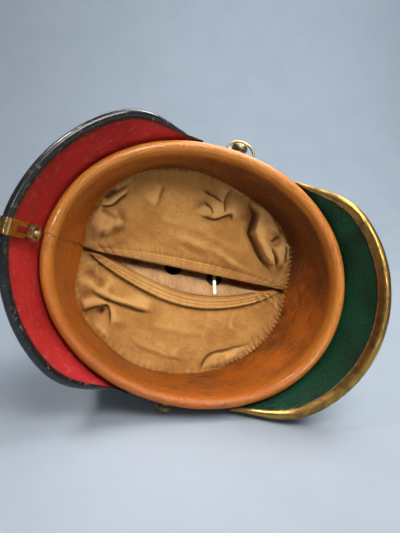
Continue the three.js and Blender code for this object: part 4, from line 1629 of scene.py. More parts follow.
def beside_path(path: Path, plan: Array) -> tuple[Array, Array]:
    """Where places on the plan lie beside an eased path.

    Args:
        path: Corners of the path.
        plan: Places.

    Returns:
        Distance to the path, positive on the left of its run, and a share that fades out at both ends.
    """
    corners = np.array(path, float)
    knots = np.arange(len(corners))
    fine = np.linspace(0, len(corners) - 1, 5 * (len(corners) - 1) + 1)
    line = vec(*(np.interp(fine, knots, corners[:, k]) for k in range(2)))
    for _ in range(8):
        line[1:-1] = (line[:-2] + 2 * line[1:-1] + line[2:]) / 4
    near = np.full(plan.shape[:-1], np.inf)
    aside, place = np.zeros_like(near), np.zeros_like(near)
    for k, (start, end) in enumerate(zip(line[:-1], line[1:])):
        along = end - start
        offset = plan - start
        share = np.clip(offset @ along / (along @ along), 0, 1)
        away = norm(offset - share[..., None] * along)
        side = np.sign(along[0] * offset[..., 1] - along[1] * offset[..., 0])
        closer = away < near
        near = np.where(closer, away, near)
        aside = np.where(closer, away * side, aside)
        place = np.where(closer, (k + share) / (len(line) - 1), place)
    return aside, smooth_step(place, 0, 0.25) * smooth_step(1 - place, 0, 0.25)


@dataclass(frozen=True)
class Fold:
    """Pleat of the cloth: it steps up on the left of its path, as seen from above, and falls away behind."""

    path: Path
    rise: float
    steep: float
    fall: float
    deepest: float = 2.6

    def height(self, plan: Array) -> Array:
        """Rise of the pleat at places on the plan.

        Args:
            plan: Places.

        Returns:
            Millimetres towards the rim.
        """
        aside, fade = beside_path(self.path, plan)
        step = smooth_step(aside, -self.steep, self.steep * 0.4) * bump(np.maximum(aside, 0), 1.3 * self.fall)
        foot = fade * bump(aside + 0.8 * self.steep, max(0.45 * self.steep, 0.9))
        return fade * (self.rise * step - min(self.rise, self.deepest) * foot)


@dataclass(frozen=True)
class Crease:
    """Valley of the cloth along a path."""

    path: Path
    depth: float
    width: float

    def height(self, plan: Array) -> Array:
        """Rise of the valley at places on the plan, in millimetres below zero."""
        aside, fade = beside_path(self.path, plan)
        return -self.depth * fade * bump(aside, self.width)


@dataclass(frozen=True)
class Puff:
    """Swollen spot of the cloth, or a pulled-in one where its rise is below zero."""

    x: float
    y: float
    half_length: float
    half_width: float
    turn: float
    rise: float

    def height(self, plan: Array) -> Array:
        """Rise of the spot at places on the plan.

        Args:
            plan: Places.

        Returns:
            Millimetres towards the rim.
        """
        turn = math.radians(self.turn)
        x, y = plan[..., 0] - self.x, plan[..., 1] - self.y
        along = x * math.cos(turn) + y * math.sin(turn)
        across = y * math.cos(turn) - x * math.sin(turn)
        return self.rise * bump(along, self.half_length) * bump(across, self.half_width)


Shape = Fold | Crease | Puff
RIGHT_SHAPES: tuple[Shape, ...] = (
    Fold(((67, -16), (61.5, -22.5), (56, -26.5), (48.5, -31.5), (42.5, -37.5), (38.5, -43.5), (38, -49),
          (38.5, -56.5), (36.5, -60), (30.5, -63.5), (28, -71)), 10, 2.6, 22, 3.4),
    Fold(((64.5, -22), (61, -30.5), (54.5, -38.5)), 3.2, 1.8, 6),
    Fold(((73, -28), (68.5, -36), (62, -42)), 3, 1.4, 5),
    Crease(((49, -62), (52, -54), (61, -48)), 4.5, 1.3),
    Crease(((57, -47), (54, -44), (52, -40)), 2.4, 1.1),
    Puff(63, -42, 8, 10, 30, 3.5),
    Puff(52, -52, 8, 5, -40, 3),
    Fold(((14.5, -74), (11, -64), (9, -58), (13.5, -50)), 3, 0.8, 8),
    Crease(((-9, -65), (1, -62.5), (10, -59)), 3.2, 0.9),
    Fold(((-6, -55), (0.5, -51), (5, -47)), 2.2, 1.3, 6),
    Fold(((23, -47.5), (19.5, -53.5), (15.5, -52), (9.5, -47.5), (2, -45), (-8, -46.5)), 3.6, 0.9, 9),
    Fold(((-37.5, -61), (-39, -49), (-40.5, -40)), 2, 2.4, 7, 0.6),
    Fold(((-61, -48), (-65.5, -39.5), (-68, -35), (-72, -31.5), (-80, -30)), 4.2, 0.9, 5),
    Crease(((-55, -66), (-65, -49.5), (-71, -39)), 2.6, 2.4),
    Puff(-66, -54, 10, 5, -62, 5),
    Puff(-74.5, -42, 3.2, 5, 10, -9),
    Puff(-79, -36, 4, 3, 0, 2.5),
    Puff(-74, -20, 9, 11, 0, 6),
    Fold(((-56, -24), (-64, -16), (-78, -6)), 4.4, 4.5, 10, 0.5),
    Crease(((-77, -28), (-69, -26), (-62, -23)), 2, 1.9),
    Fold(((48, -14), (10, -24), (-30, -22)), 1.5, 4, 9, 0.2),
    Fold(((40, -24), (0, -36), (-40, -34)), 1.3, 4, 9, 0.2),
)
LEFT_SHAPES: tuple[Shape, ...] = (
    Fold(((-14, 35), (-29, 36), (-44, 34.5), (-56, 33.5), (-68, 30.5)), 4.6, 3, 10, 1.7),
    Fold(((-50, 37.5), (-61.5, 42), (-70, 48.5)), 3.4, 2.4, 6, 1.2),
    Fold(((-45.5, 54), (-45.5, 45.5), (-49, 40), (-56, 38)), 2.4, 1.5, 5, 1.1),
    Puff(-55, 45.5, 2, 2, 0, -5),
    Crease(((-76, 18), (-65.5, 22), (-56, 26.5)), 2.2, 3),
    Puff(-70, 27, 10, 7, 20, 3.4),
    Puff(-66, 42, 8, 5, -30, 3),
    Puff(-52, 58, 9, 7, 30, 2),
    Fold(((30, 75), (31.5, 63.5), (32.5, 59.5), (38.5, 53.5), (44.5, 49.5), (54.5, 44), (66, 38)),
         2.6, 1.1, 9, 1.7),
    Fold(((60, 50), (55.5, 56), (49.5, 60), (40.5, 61.5), (36, 66)), 2.4, 0.8, 5),
    Fold(((30, 40), (5, 46), (-20, 44)), 1.4, 4, 10, 0.2),
    Fold(((22, 62), (-5, 65), (-34, 59)), 1.4, 3, 9, 0.2),
)


@dataclass
class LiningHalf:
    """One half of the gathered cotton lining, from the band's free edge to its casing along the slit."""

    side: Side
    shapes: tuple[Shape, ...]
    cut: Pair
    casing_width: float
    casing_rise: float
    seed: int
    thickness: float = 0.7
    lift: float = 1.4
    seam_gap: float = 1.3
    slit_gap: float = 1.2
    slit_rise: float = 14
    puff: float = 4
    rear: Spot = (-70, 4.3, 177)
    front: Spot = (67, -7.3, -5)
    bow: float = 16
    bow_skew: float = 1.25
    ribs: float = 3.5
    rib_depth: float = 0.14
    pleat: float = 5.2
    tooth: float = 3.4
    tooth_depth: float = 3.4
    tooth_root: float = 2.6
    edge_lip: float = 1.1
    overlap: float = 2
    off_band: float = 1.7
    arc: float = 250
    margin: float = 6
    shape_gain: float = 1.2
    loose: Pair = (1.3, 28)
    fine: Pair = (0.3, 6)
    drag: float = 0.35
    drag_size: Spot = (40, 4.5, 1)
    crumple: float = 1.1
    crumple_size: float = 17
    crumple_patch: float = 33
    fan: float = 0.09
    fan_reach: float = 20
    fan_spokes: float = 7
    fan_size: float = 45
    gather: float = 1.8
    gather_size: Pair = (11, 25)
    pleat_height: float = 1.1
    pleat_sink: float = 0.6
    pleat_wander: float = 2.2
    casing_foot: float = 0.45
    pucker: float = 0.4
    pucker_size: float = 2.8
    pucker_reach: float = 5
    end_pucker: float = 3
    end_reach: float = 0.1
    stray: float = 1.4
    stray_size: float = 9
    gather_reach: float = 15
    pleat_reach: float = 5
    # Painted shade along the top of the cloth near the band, as it lies.
    band_shade: float = 0.85
    band_shade_reach: float = 22
    top_from: Pair = (25, 65)
    fold_shading_rounds: int = 110
    fold_shading_height: float = 1.5
    shade_steps: tuple[int, ...] = (1, 2, 4, 7)
    path_ends: Pair = (0.05, 0.95)
    path_steps: int = 300
    path_rows: int = 150
    columns: int = 340
    rows: int = 130

    @property
    def node(self) -> str:
        """Name of the CAD node."""
        return f"liner_{self.side.name.lower()}"

    def casing(self, u: Array) -> Array:
        """Width of the casing in millimetres, which narrows at the slit's ends."""
        return self.casing_width * np.sin(math.pi * np.clip(u, 0.02, 0.98)) ** 0.3

    def edge(self, angle: Array, overlap: Array) -> Array:
        """Outer edge of the cloth, behind the band's free edge but over it at the front.

        Args:
            angle: Angles from the front in radians.
            overlap: Millimetres by which the cloth lies over the band at the front.

        Returns:
            The points.
        """
        top, below = BAND_ROWS[-1], BAND_ROWS[-2]
        ahead = smooth_step(np.cos(angle - 0.1), 0.5, 0.8)
        drop = overlap * ahead
        out = edge_out(angle) - self.off_band * ahead
        share = drop / (top.height - below.height)
        return SHELL.oval(
            top.half_length + out + (below.half_length - top.half_length) * share,
            top.half_width + out + (below.half_width - top.half_width) * share,
            angle, (top.centre_x, 0), top.height + self.lift * (1 - ahead) - drop)

    def lines(self, u: Array) -> tuple[Array, Array, Array]:
        """Outer edge and slit edge of the half, and the small teeth that its outer edge is cut into.

        Args:
            u: 0 at the rear to 1 at the front.

        Returns:
            Points of the outer edge, points of the slit edge and the offset of the teeth.
        """
        sign = self.side.value
        start = self.rear[2] - sign * self.seam_gap
        end = self.front[2] + sign * self.seam_gap + (0 if sign > 0 else 360)
        angle = np.radians(start + (end - start) * u)
        edge = self.edge(angle, self.overlap)
        share = np.clip(u, 0, 1)
        bow = self.bow * np.sin(math.pi * share**self.bow_skew) if sign > 0 else 0
        slit = vec(
            self.rear[0] + (self.front[0] - self.rear[0]) * u,
            self.rear[1] + (self.front[1] - self.rear[1]) * u + sign * self.slit_gap + bow,
            BAND_ROWS[-1].height + self.lift + self.slit_rise * np.sin(math.pi * share))
        teeth = np.abs((angle * BAND_ROWS[-1].half_width / self.tooth) % 1 - 0.5) * 2
        return edge, slit, self.edge(angle, self.overlap + self.tooth_depth * teeth) - edge

    def rumples(self, points: Array) -> Array:
        """Loose rumples, drag lines along the slit, crumpled patches and fans from the slit's ends.

        Args:
            points: Smooth surface of the half.

        Returns:
            Millimetres towards the rim.
        """
        rise = np.zeros(points.shape[:-1])
        for (height, size), step in ((self.loose, 0), (self.fine, 5)):
            rise += height * layered_noise(points, size, 2, self.seed + step)
        drag = points @ np.array([[0.95, 0.2, 0], [-0.3, 1, 0], [0, 0, 0]]).T / np.array(self.drag_size)
        rise += self.drag * lattice_noise(drag, self.seed + 7)
        crumple = 1 - np.abs(layered_noise(points, self.crumple_size, 2, self.seed + 15))
        patch = smooth_step(lattice_noise(points / self.crumple_patch, self.seed + 17), -0.1, 0.5)
        rise += self.crumple * crumple**3 * patch
        for x, y, _ in (self.rear, self.front):
            away = points[..., :2] - (x, y)
            far = norm(away)
            turn = np.arctan2(away[..., 1], away[..., 0] * (1 if x < 0 else -1))
            spokes = noise_at(self.seed + 19, turn * self.fan_spokes, far / self.fan_size, x)
            rise += self.fan * far * np.exp(-far / self.fan_reach) * spokes
        return rise

    def sewing(self, u: Array, from_band: Array, from_slit: Array) -> Array:
        """Casing along the slit with its sewn ribs and puckers, and the small pleats at the band.

        Args:
            u: 0 at the rear to 1 at the front.
            from_band: Distance from the band.
            from_slit: Distance from the slit.

        Returns:
            Millimetres towards the rim.
        """
        casing, along = self.casing(u), self.arc * u
        across = np.clip(from_slit / casing, 0, 1)
        band = np.sqrt(np.maximum(1 - np.abs(2 * across - 1) ** 5, 0)) * (from_slit < casing)
        rise = self.casing_rise * band * (1 + self.rib_depth * np.cos(2 * math.pi * self.ribs * across))
        rise -= self.casing_foot * self.casing_rise * bump(from_slit - casing - 0.9, 1.5)
        wander = self.pleat_wander * noise_at(self.seed + 9, along / 9)
        beat = np.abs(np.sin(math.pi * (along + wander) / self.pleat))
        at_band = bump(from_band, self.pleat_reach) * smooth_step(from_band, 0, 1.2)
        rise += (self.pleat_height * beat - self.pleat_sink) * at_band
        ends = 1 + self.end_pucker * (bump(u, self.end_reach) + bump(1 - u, self.end_reach))
        pucker = self.pucker * noise_at(self.seed + 13, along / self.pucker_size, z=3.3)
        return rise + pucker * bump(from_slit - casing, self.pucker_reach) * ends

    def relief(self, points: Array, u: Array, from_band: Array, from_slit: Array) -> Array:
        """Folds, gathers and sewing of the cloth.

        Args:
            points: Smooth surface of the half.
            u: 0 at the rear to 1 at the front.
            from_band: Distance from the band.
            from_slit: Distance from the slit.

        Returns:
            Millimetres towards the rim.
        """
        rise = self.rumples(points)
        along, across = self.gather_size
        gather = noise_at(self.seed + 23, self.arc * u / along, from_band / across)
        rise += self.gather * gather * bump(from_band, self.gather_reach)
        stray = vec(*(layered_noise(points, self.stray_size, 2, self.seed + k) for k in (25, 27)))
        strayed = points[..., :2] + self.stray * stray
        for shape in self.shapes:
            rise += self.shape_gain * shape.height(strayed)
        rise *= smooth_step(from_band, 0, self.margin)
        rise *= smooth_step(from_slit - self.casing(u), 0, self.margin)
        return rise + self.sewing(u, from_band, from_slit)

    def surface(self, u: Array, v: Array) -> tuple[Array, Array]:
        """Cloth's middle surface: u from rear to front, v from the band to the slit.

        Args:
            u: First parameter.
            v: Second parameter.

        Returns:
            The points and the rise of the relief above the smooth half.
        """
        edge, slit, teeth = self.lines(u)
        points = edge + (slit - edge) * v[..., None]
        width = norm(slit - edge)
        points += teeth * np.maximum(1 - v * width / self.tooth_root, 0)[..., None]
        rise = self.relief(points, u, v * width, (1 - v) * width)
        swell = self.puff * np.sin(math.pi * np.clip(v, 0, 1)) * np.sin(math.pi * np.clip(u, 0, 1))
        points[..., 2] -= swell + rise + self.edge_lip * bump(v * width, 2.2)
        return points, rise

    def seam_paths(self, casing_shares: Sequence[float], from_band: float) -> list[Array]:
        """Lines for rows of stitches on the cloth's rim side: one beside the band, then those on the casing.

        Args:
            casing_shares: Share of the casing's width for each of its rows.
            from_band: Millimetres from the band to the first row.

        Returns:
            Points of each line.
        """
        rows, u = self.path_rows, np.linspace(*self.path_ends, self.path_steps)
        edge, slit, _ = self.lines(u)
        width = norm(slit - edge)
        whole = self.surface(*np.meshgrid(u, np.linspace(0, 1, rows + 1), indexing="ij"))[0]
        casing = self.casing(u)
        places = [from_band / width]
        places += [1 - np.minimum(share * casing / width, 0.6) for share in casing_shares]
        picked = np.arange(len(u))
        paths = []
        for place in places:
            low = np.clip((place * rows).astype(int), 0, rows - 1)
            mix = (place * rows - low)[:, None]
            path = whole[picked, low] * (1 - mix) + whole[picked, low + 1] * mix
            path[:, 2] -= self.thickness / 2 + 0.1
            paths.append(path)
        return paths

    def hollows(self, points: Array) -> Array:
        """How far each place of the cloth lies down in a fold, for painted shade.

        Args:
            points: Grid of the cloth.

        Returns:
            0 in the open to 1 in a deep fold.
        """
        reach = max(self.shade_steps)
        padded = np.pad(points, ((reach, reach), (reach, reach), (0, 0)), mode="edge")
        columns, rows = points.shape[:2]
        total = np.zeros((columns, rows))
        ways = [(a, b) for a in (-1, 0, 1) for b in (-1, 0, 1) if (a, b) != (0, 0)]
        for way in ways:
            steepest = np.zeros_like(total)
            for step in self.shade_steps:
                a, b = reach + way[0] * step, reach + way[1] * step
                offset = padded[a: a + columns, b: b + rows] - points
                run = np.maximum(norm(offset[..., :2]), 0.2)
                steepest = np.maximum(steepest, -offset[..., 2] / run)
            total += steepest**2 / (1 + steepest**2)
        return total / len(ways)

    def rubbing_and_fold_shading(self, rise: Array) -> Array:
        """How far the cloth stands over its surroundings, for rubbing and for a painted highlight on ridges
        and painted shade in folds.

        Args:
            rise: Rise of the relief.

        Returns:
            0 in valleys to 1 on ridges.
        """
        smooth = rise
        for _ in range(self.fold_shading_rounds):
            smooth = np.pad(smooth, 1, mode="edge")
            smooth = (smooth[:-2] + 2 * smooth[1:-1] + smooth[2:]) / 4
            smooth = (smooth[:, :-2] + 2 * smooth[:, 1:-1] + smooth[:, 2:]) / 4
        return 0.5 + 0.5 * np.tanh((rise - smooth) / self.fold_shading_height)

    def build(self, finishes: Finishes) -> Object:
        """Builds the cloth.

        Args:
            finishes: Materials.

        Returns:
            The piece.
        """
        u, v = grid(self.columns, self.rows)
        middle, rise = self.surface(u, v)
        normal = grid_normals(middle, False)
        normal = normal * np.where(normal[..., 2:] > 0, -1, 1)
        edge, slit, _ = self.lines(u)
        from_band = v * norm(slit - edge)
        # Painted shade: darker in deep folds and along the top near the band, as it lies.
        topmost = smooth_step(-middle[..., 1], *self.top_from)
        painted_shade = self.hollows(middle) + self.band_shade * topmost * bump(from_band, self.band_shade_reach)
        half = normal * self.thickness / 2
        solid = wall(middle + half, middle - half, values={"painted_shade": painted_shade, "rubbing_and_fold_shading": self.rubbing_and_fold_shading(rise)})
        return solid.piece(f"{self.node}_cloth", "lining_cotton", self.node, finishes.cotton, crease=70)


@dataclass(frozen=True)
class StitchRow:
    """A row of stitches along a line, made with geometry nodes."""

    name: str
    spacing: float
    length: float
    radius: float

    def tree(self) -> bpy.types.NodeTree:
        """Node tree that sets one stitch at each step of a line.

        Returns:
            The tree.
        """
        tree = bpy.data.node_groups.new(f"{self.name}_tree", "GeometryNodeTree")
        for name, way, kind in (
            ("Geometry", "INPUT", "Geometry"), ("Spacing", "INPUT", "Float"),
            ("Stitch Scale", "INPUT", "Vector"), ("Thread", "INPUT", "Material"),
            ("Geometry", "OUTPUT", "Geometry"),
        ):
            tree.interface.new_socket(name, in_out=way, socket_type=f"NodeSocket{kind}")
        kinds = {
            "source": "NodeGroupInput", "curve": "GeometryNodeMeshToCurve",
            "even": "GeometryNodeResampleCurve", "spots": "GeometryNodeCurveToPoints",
            "turn": "FunctionNodeAlignRotationToVector", "bead": "GeometryNodeMeshUVSphere",
            "stitch": "GeometryNodeTransform", "set": "GeometryNodeInstanceOnPoints",
            "real": "GeometryNodeRealizeInstances", "smooth": "GeometryNodeSetShadeSmooth",
            "paint": "GeometryNodeSetMaterial", "out": "NodeGroupOutput",
        }
        n = {key: tree.nodes.new(kind) for key, kind in kinds.items()}
        n["even"].mode = "LENGTH"
        n["spots"].mode = "EVALUATED"
        n["turn"].axis = "Z"
        for key, number in (("Segments", 8), ("Rings", 6), ("Radius", 1)):
            n["bead"].inputs[key].default_value = number
        for start, output, end, target in (
            ("source", "Geometry", "curve", "Mesh"), ("curve", "Curve", "even", "Curve"),
            ("source", "Spacing", "even", "Length"), ("even", "Curve", "spots", "Curve"),
            ("spots", "Tangent", "turn", "Vector"), ("spots", "Points", "set", "Points"),
            ("turn", "Rotation", "set", "Rotation"), ("bead", "Mesh", "stitch", "Geometry"),
            ("source", "Stitch Scale", "stitch", "Scale"), ("stitch", "Geometry", "set", "Instance"),
            ("set", "Instances", "real", "Geometry"), ("real", "Geometry", "smooth", "Geometry"),
            ("smooth", "Geometry", "paint", "Geometry"), ("source", "Thread", "paint", "Material"),
            ("paint", "Geometry", "out", "Geometry"),
        ):
            tree.links.new(n[start].outputs[output], n[end].inputs[target])
        return tree

    def build(self, line: Array, thread: Material, slot: str) -> Object:
        """Builds the stitches.

        Args:
            line: Points of the line in the helmet's frame.
            thread: Material of the thread.
            slot: Material slot of the record.

        Returns:
            The piece.
        """
        mesh = bpy.data.meshes.new(f"{self.name}_line")
        mesh.from_pydata(LIE.place(line).tolist(), [(k, k + 1) for k in range(len(line) - 1)], [])
        guide = shown(f"{self.name}_guide", mesh)
        modifier = guide.modifiers.new("stitches", "NODES")
        modifier.node_group = self.tree()
        inputs = {
            "Spacing": self.spacing * METRES, "Thread": thread,
            "Stitch Scale": [self.radius * METRES, self.radius * METRES, self.length / 2 * METRES],
        }
        for item in modifier.node_group.interface.items_tree:
            if item.in_out == "INPUT" and item.name in inputs:
                modifier[item.identifier] = inputs[item.name]
        evaluated = guide.evaluated_get(bpy.context.evaluated_depsgraph_get())
        stitches = bpy.data.meshes.new_from_object(evaluated)
        bpy.data.objects.remove(guide)
        return declare(shown(self.name, stitches), slot)


@dataclass
class Lining:
    """Both halves of the lining with their stitches."""

    halves: tuple[LiningHalf, ...] = (
        LiningHalf(Side.LEFT, LEFT_SHAPES, (0.086, 0.2), 10.5, 3.2, 61),
        LiningHalf(Side.RIGHT, RIGHT_SHAPES, (0.1, 0.21), 7.5, 1.0, 71))
    casing_rows: tuple[float, ...] = (0.14, 0.43, 0.72, 1.0)
    casing_stitches: Spot = (2.2, 1.7, 0.24)
    edge_stitches: Spot = (5.2, 2.2, 0.3)
    edge_offset: float = 1.7

    def build(self, finishes: Finishes) -> None:
        """Builds the halves and their stitches.

        Args:
            finishes: Materials.
        """
        for half in self.halves:
            cloth = half.build(finishes)
            first, *others = half.seam_paths(self.casing_rows, self.edge_offset)
            edge = StitchRow(f"{half.node}_edge_stitches", *self.edge_stitches)
            rows = [edge.build(first, finishes.thread, "lining_cotton")]
            for number, line in enumerate(others, 1):
                casing = StitchRow(f"{half.node}_casing_stitches_{number}", *self.casing_stitches)
                rows.append(casing.build(line, finishes.thread, "lining_cotton"))


# Spike, its base and studs


@dataclass(frozen=True)
class BaseRow:
    """Section of the spike's base: its radius and how far it stands over the crown or over the apex."""

    radius: float
    lift: float
    follows_crown: bool


@dataclass
class SpikeSet:
    """The spike on its round base, with the studs that hold it and their washers inside the crown."""

    wall: float = 0.45
    neck_radius: float = 10.5
    foot: float = 11
    collar_radius: float = 12.8
    collar_height: float = 3
    root_radius: float = 11.8
    root_rise: float = 4
    length: float = 64
    tip_radius: float = 1
    tip_wall: float = 2.5
    spike_sides: int = 72
    inner_rows: int = 16
    base_columns: int = 120
    base_rows: int = 70
    circle: float = 38
    head_radius: float = 5
    head_height: float = 3
    shank_radius: float = 1.5
    leg_width: float = 3
    leg_thickness: float = 0.8
    leg_length: float = 14
    leg_turn: float = -18
    short_leg: float = 0.86
    leg_belly: float = 0.3
    leg_droop: float = 0.27
    leg_round: float = 0.1
    washer_radius: float = 7
    washer_thickness: float = 1
    washer_gap: float = 0.4
    washer_seat: float = 0.9
    head_seat: float = 0.8
    rows: tuple[BaseRow, ...] = (
        BaseRow(44.5, 0.7, True), BaseRow(38, 0.7, True), BaseRow(29, 1.0, True), BaseRow(21, 2.2, True),
        BaseRow(14.5, 5, False), BaseRow(11.6, 8, False), BaseRow(10.5, 11, False), BaseRow(10.5, 18, False))
    studs: tuple[tuple[str, float], ...] = (("front", 0), ("rear_left", 120), ("rear_right", 240))

    def base(self) -> Solid:
        """The dished base with its neck.

        Returns:
            The solid.
        """
        angle = around(self.base_columns)
        lines = []
        for row in self.rows:
            x = SHELL.apex[0] + row.radius * np.cos(angle)
            y = SHELL.apex[1] + row.radius * np.sin(angle)
            under = SHELL.crown_height(x, y) if row.follows_crown else np.full_like(x, SHELL.height)
            lines.append(vec(x, y, under + row.lift).ravel())
        knots, place = np.linspace(0, 1, len(self.rows)), np.linspace(0, 1, self.base_rows)
        middle = through_rows(np.stack(lines), knots, place).reshape(self.base_rows, -1, 3).swapaxes(0, 1)
        half = grid_normals(middle, True) * self.wall / 2
        return wall(middle + half, middle - half, closed=True, finishes=(0, 1, 0))

    def spike(self) -> Solid:
        """The hollow spike, closed at its tip.

        Returns:
            The solid.
        """
        bore = self.neck_radius + self.wall / 2 + 0.3
        shoulder = self.foot + self.collar_height
        root = shoulder + self.root_rise
        tip = self.foot + self.length
        profile = rounded([
            (0, tip - self.tip_wall), (self.root_radius - self.wall, root), (bore, shoulder),
            (bore, self.foot), (self.collar_radius, self.foot), (self.collar_radius, shoulder - 1),
            (self.root_radius + 1, shoulder + 0.6), (self.root_radius, shoulder + 1.2),
            (self.root_radius, root), (self.tip_radius, tip - 1), (0, tip)], 0.9)
        solid = turned(profile, self.spike_sides)
        solid.finish[: self.inner_rows * self.spike_sides] = 1
        return solid.moved(np.array([*SHELL.apex, SHELL.height]), np.array([0, 0, 1]))

    def stud(self) -> Solid:
        """A split stud: domed head, shank and two spread prongs with round ends.

        Returns:
            The solid.
        """
        seat = self.rows[1].lift + self.wall / 2 + self.head_seat
        low = -SHELL.crown_wall - self.washer_seat - self.washer_thickness - 0.3
        end = low - self.leg_thickness
        dome = [
            (self.head_radius * math.cos(a), seat + self.head_height * math.sin(a))
            for a in np.linspace(0, 1.5, 12)]
        corners = [(0, end), (self.shank_radius, end), (self.shank_radius, seat)]
        body = turned(np.array(corners + dome + [(0, seat + self.head_height)]), 36)
        u, v = grid(80, 12)
        share = 2 * u - 1
        longer = share > 0
        run = share * self.leg_length * np.where(longer, 1, self.short_leg)
        past = np.clip((np.abs(share) - 1 + self.leg_round) / self.leg_round, 0, 1)
        x = (v - 0.5) * self.leg_width * np.sqrt(np.clip(1 - past**2, 0.03, 1))
        droop = self.leg_droop * share**2 * np.where(longer, 1, 0.4) - 0.15 * bump(run, 2)
        belly = self.leg_belly * np.sqrt(np.clip(1 - (2 * v - 1) ** 2, 0, 1))
        cos, sin = math.cos(math.radians(self.leg_turn)), math.sin(math.radians(self.leg_turn))
        plan = [x * cos - run * sin, x * sin + run * cos]
        return body.joined(wall(vec(*plan, low), vec(*plan, end - belly - droop)))

    def washer(self) -> Solid:
        """Round leather washer.

        Returns:
            The solid.
        """
        top = -SHELL.crown_wall - self.washer_seat
        low = top - self.washer_thickness
        hole, wide = self.shank_radius + self.washer_gap, self.washer_radius
        radius, height = rounded([
            (hole, low + 0.1), (wide * 0.9, low), (wide, low + 0.4), (wide, top), (hole, top)], 0.25).T
        angle = around(48)[:, None]
        return hoop(vec(radius * np.cos(angle), radius * np.sin(angle), height))

    def build(self, finishes: Finishes) -> None:
        """Builds base, spike, studs and washers.

        Args:
            finishes: Materials.
        """
        self.base().piece("spike_base_dish", "brass", "spike_base", finishes.brass, finishes.washer)
        self.spike().piece("spike_cone", "brass", "spike", finishes.brass, finishes.washer)
        for side, degrees in self.studs:
            angle = math.radians(degrees)
            x = np.array([SHELL.apex[0] + self.circle * math.cos(angle)])
            y = np.array([SHELL.apex[1] + self.circle * math.sin(angle)])
            point = vec(x, y, SHELL.crown_height(x, y))
            seat = point[0], SHELL.outward(point)[0]
            self.stud().moved(*seat).piece(
                f"stud_{side}_split", "brass", f"base_stud_{side}", finishes.stud_brass)
            self.washer().moved(*seat).piece(
                f"washer_{side}_disc", "washer_leather", f"stud_washer_{side}", finishes.washer)


# Side posts and rings


@dataclass
class SidePost:
    """Brass post for the chin strap, with the half-round ring in its eye."""

    side: Side
    slide: float
    swing: float
    x: float = 4
    z: float = 12
    plate_radius: float = 5
    plate_thickness: float = 1
    back_seat: float = 0.6
    shank_radius: float = 2
    flange_seat: float = 0.3
    flange_radius: float = 6.5
    flange_thickness: float = 1
    neck_radius: float = 3.2
    knob_radius: float = 5.6
    knob_bottom: float = 4.3
    dome_height: float = 2.8
    height: float = 9
    face_radius: float = 2.6
    eye_height: float = 2.9
    ring_half_width: float = 9.4
    ring_rise: float = 9.2
    ring_corner: float = 1.2
    wire_radius: float = 0.9

    def post(self) -> Solid:
        """The turned post.

        Returns:
            The solid.
        """
        back = -SHELL.rim_wall - self.back_seat
        plate = back - self.plate_thickness
        flange = self.flange_seat + self.flange_thickness
        dome = [
            (self.face_radius + (self.knob_radius - self.face_radius) * math.cos(a),
             self.height - self.dome_height + self.dome_height * math.sin(a))
            for a in np.linspace(0, math.pi / 2, 9)]
        profile = rounded([
            (0, plate), (self.plate_radius, plate), (self.plate_radius, back), (self.shank_radius, back),
            (self.shank_radius, self.flange_seat), (self.flange_radius, self.flange_seat),
            (self.flange_radius, flange), (self.neck_radius, flange + 0.2),
            (self.neck_radius, self.knob_bottom), (self.knob_radius - 0.6, self.knob_bottom),
            (self.knob_radius, self.knob_bottom + 1), *dome, (0, self.height)], 0.45)
        return turned(profile, 56)

    def ring(self, point: Array, outward: Array) -> Solid:
        """The half-round ring, its straight bar through the post's eye.

        Args:
            point: Foot of the post on the shell.
            outward: Direction of the post.

        Returns:
            The solid.
        """
        forward = unit(np.array([1, 0, 0]) - outward * outward[0])
        spikeward = unit(np.array([0, 0, 1]) - outward * outward[2])
        swing = math.radians(self.swing)
        bowward = spikeward * math.cos(swing) + outward * math.sin(swing)
        angle = np.linspace(0, math.pi, 60)
        reach, corner = self.ring_half_width, self.ring_corner
        bar = np.linspace(corner - reach, reach - corner, 30)
        bow = vec(reach * np.cos(angle), corner + (self.ring_rise - corner) * np.sin(angle))
        flat = np.concatenate([vec(bar, 0), bow])
        eye = point + outward * self.eye_height
        line = eye + (flat[:, :1] + self.slide) * forward + flat[:, 1:] * bowward
        return wire_loop(line, unit(np.cross(forward, bowward)), self.wire_radius)

    def build(self, finishes: Finishes) -> None:
        """Builds post and ring.

        Args:
            finishes: Materials.
        """
        sign, name = self.side.value, self.side.name.lower()
        centre = SHELL.section_centre(np.array(self.z))
        share = (1 - (self.z / SHELL.height) ** SHELL.side_power) ** (1 / SHELL.crown_power)
        along = abs((self.x - centre[0]) / (SHELL.half_length * share)) ** SHELL.plan_power
        y = centre[1] + sign * SHELL.half_width * share * (1 - along) ** (1 / SHELL.plan_power)
        point = np.array([self.x, float(y), self.z])
        outward = SHELL.outward(point)
        post = self.post().moved(point, outward)
        post.piece(f"side_post_{name}_turned", "old_brass", f"side_post_{name}", finishes.old_brass)
        ring = self.ring(point, outward)
        ring.piece(f"side_ring_{name}_wire", "old_brass", f"side_ring_{name}", finishes.old_brass, crease=80)


# Floor, light and camera


@dataclass(frozen=True)
class Lamp:
    """Soft square lamp: its place and target, side in metres, power, colour and beam in degrees."""

    name: str
    place: Spot
    target: Spot
    size: float
    watts: float
    colour: Colour
    spread: float = 180

    def hang(self) -> None:
        """Adds the lamp to the scene."""
        light = bpy.data.lights.new(self.name, "AREA")
        light.spread = math.radians(self.spread)
        light.size = self.size
        light.energy = self.watts
        light.color = self.colour
        lamp = shown(self.name, light)
        lamp.location = self.place
        lamp.rotation_mode = "QUATERNION"
        lamp.rotation_quaternion = (Vector(self.target) - Vector(self.place)).to_track_quat("-Z", "Y")


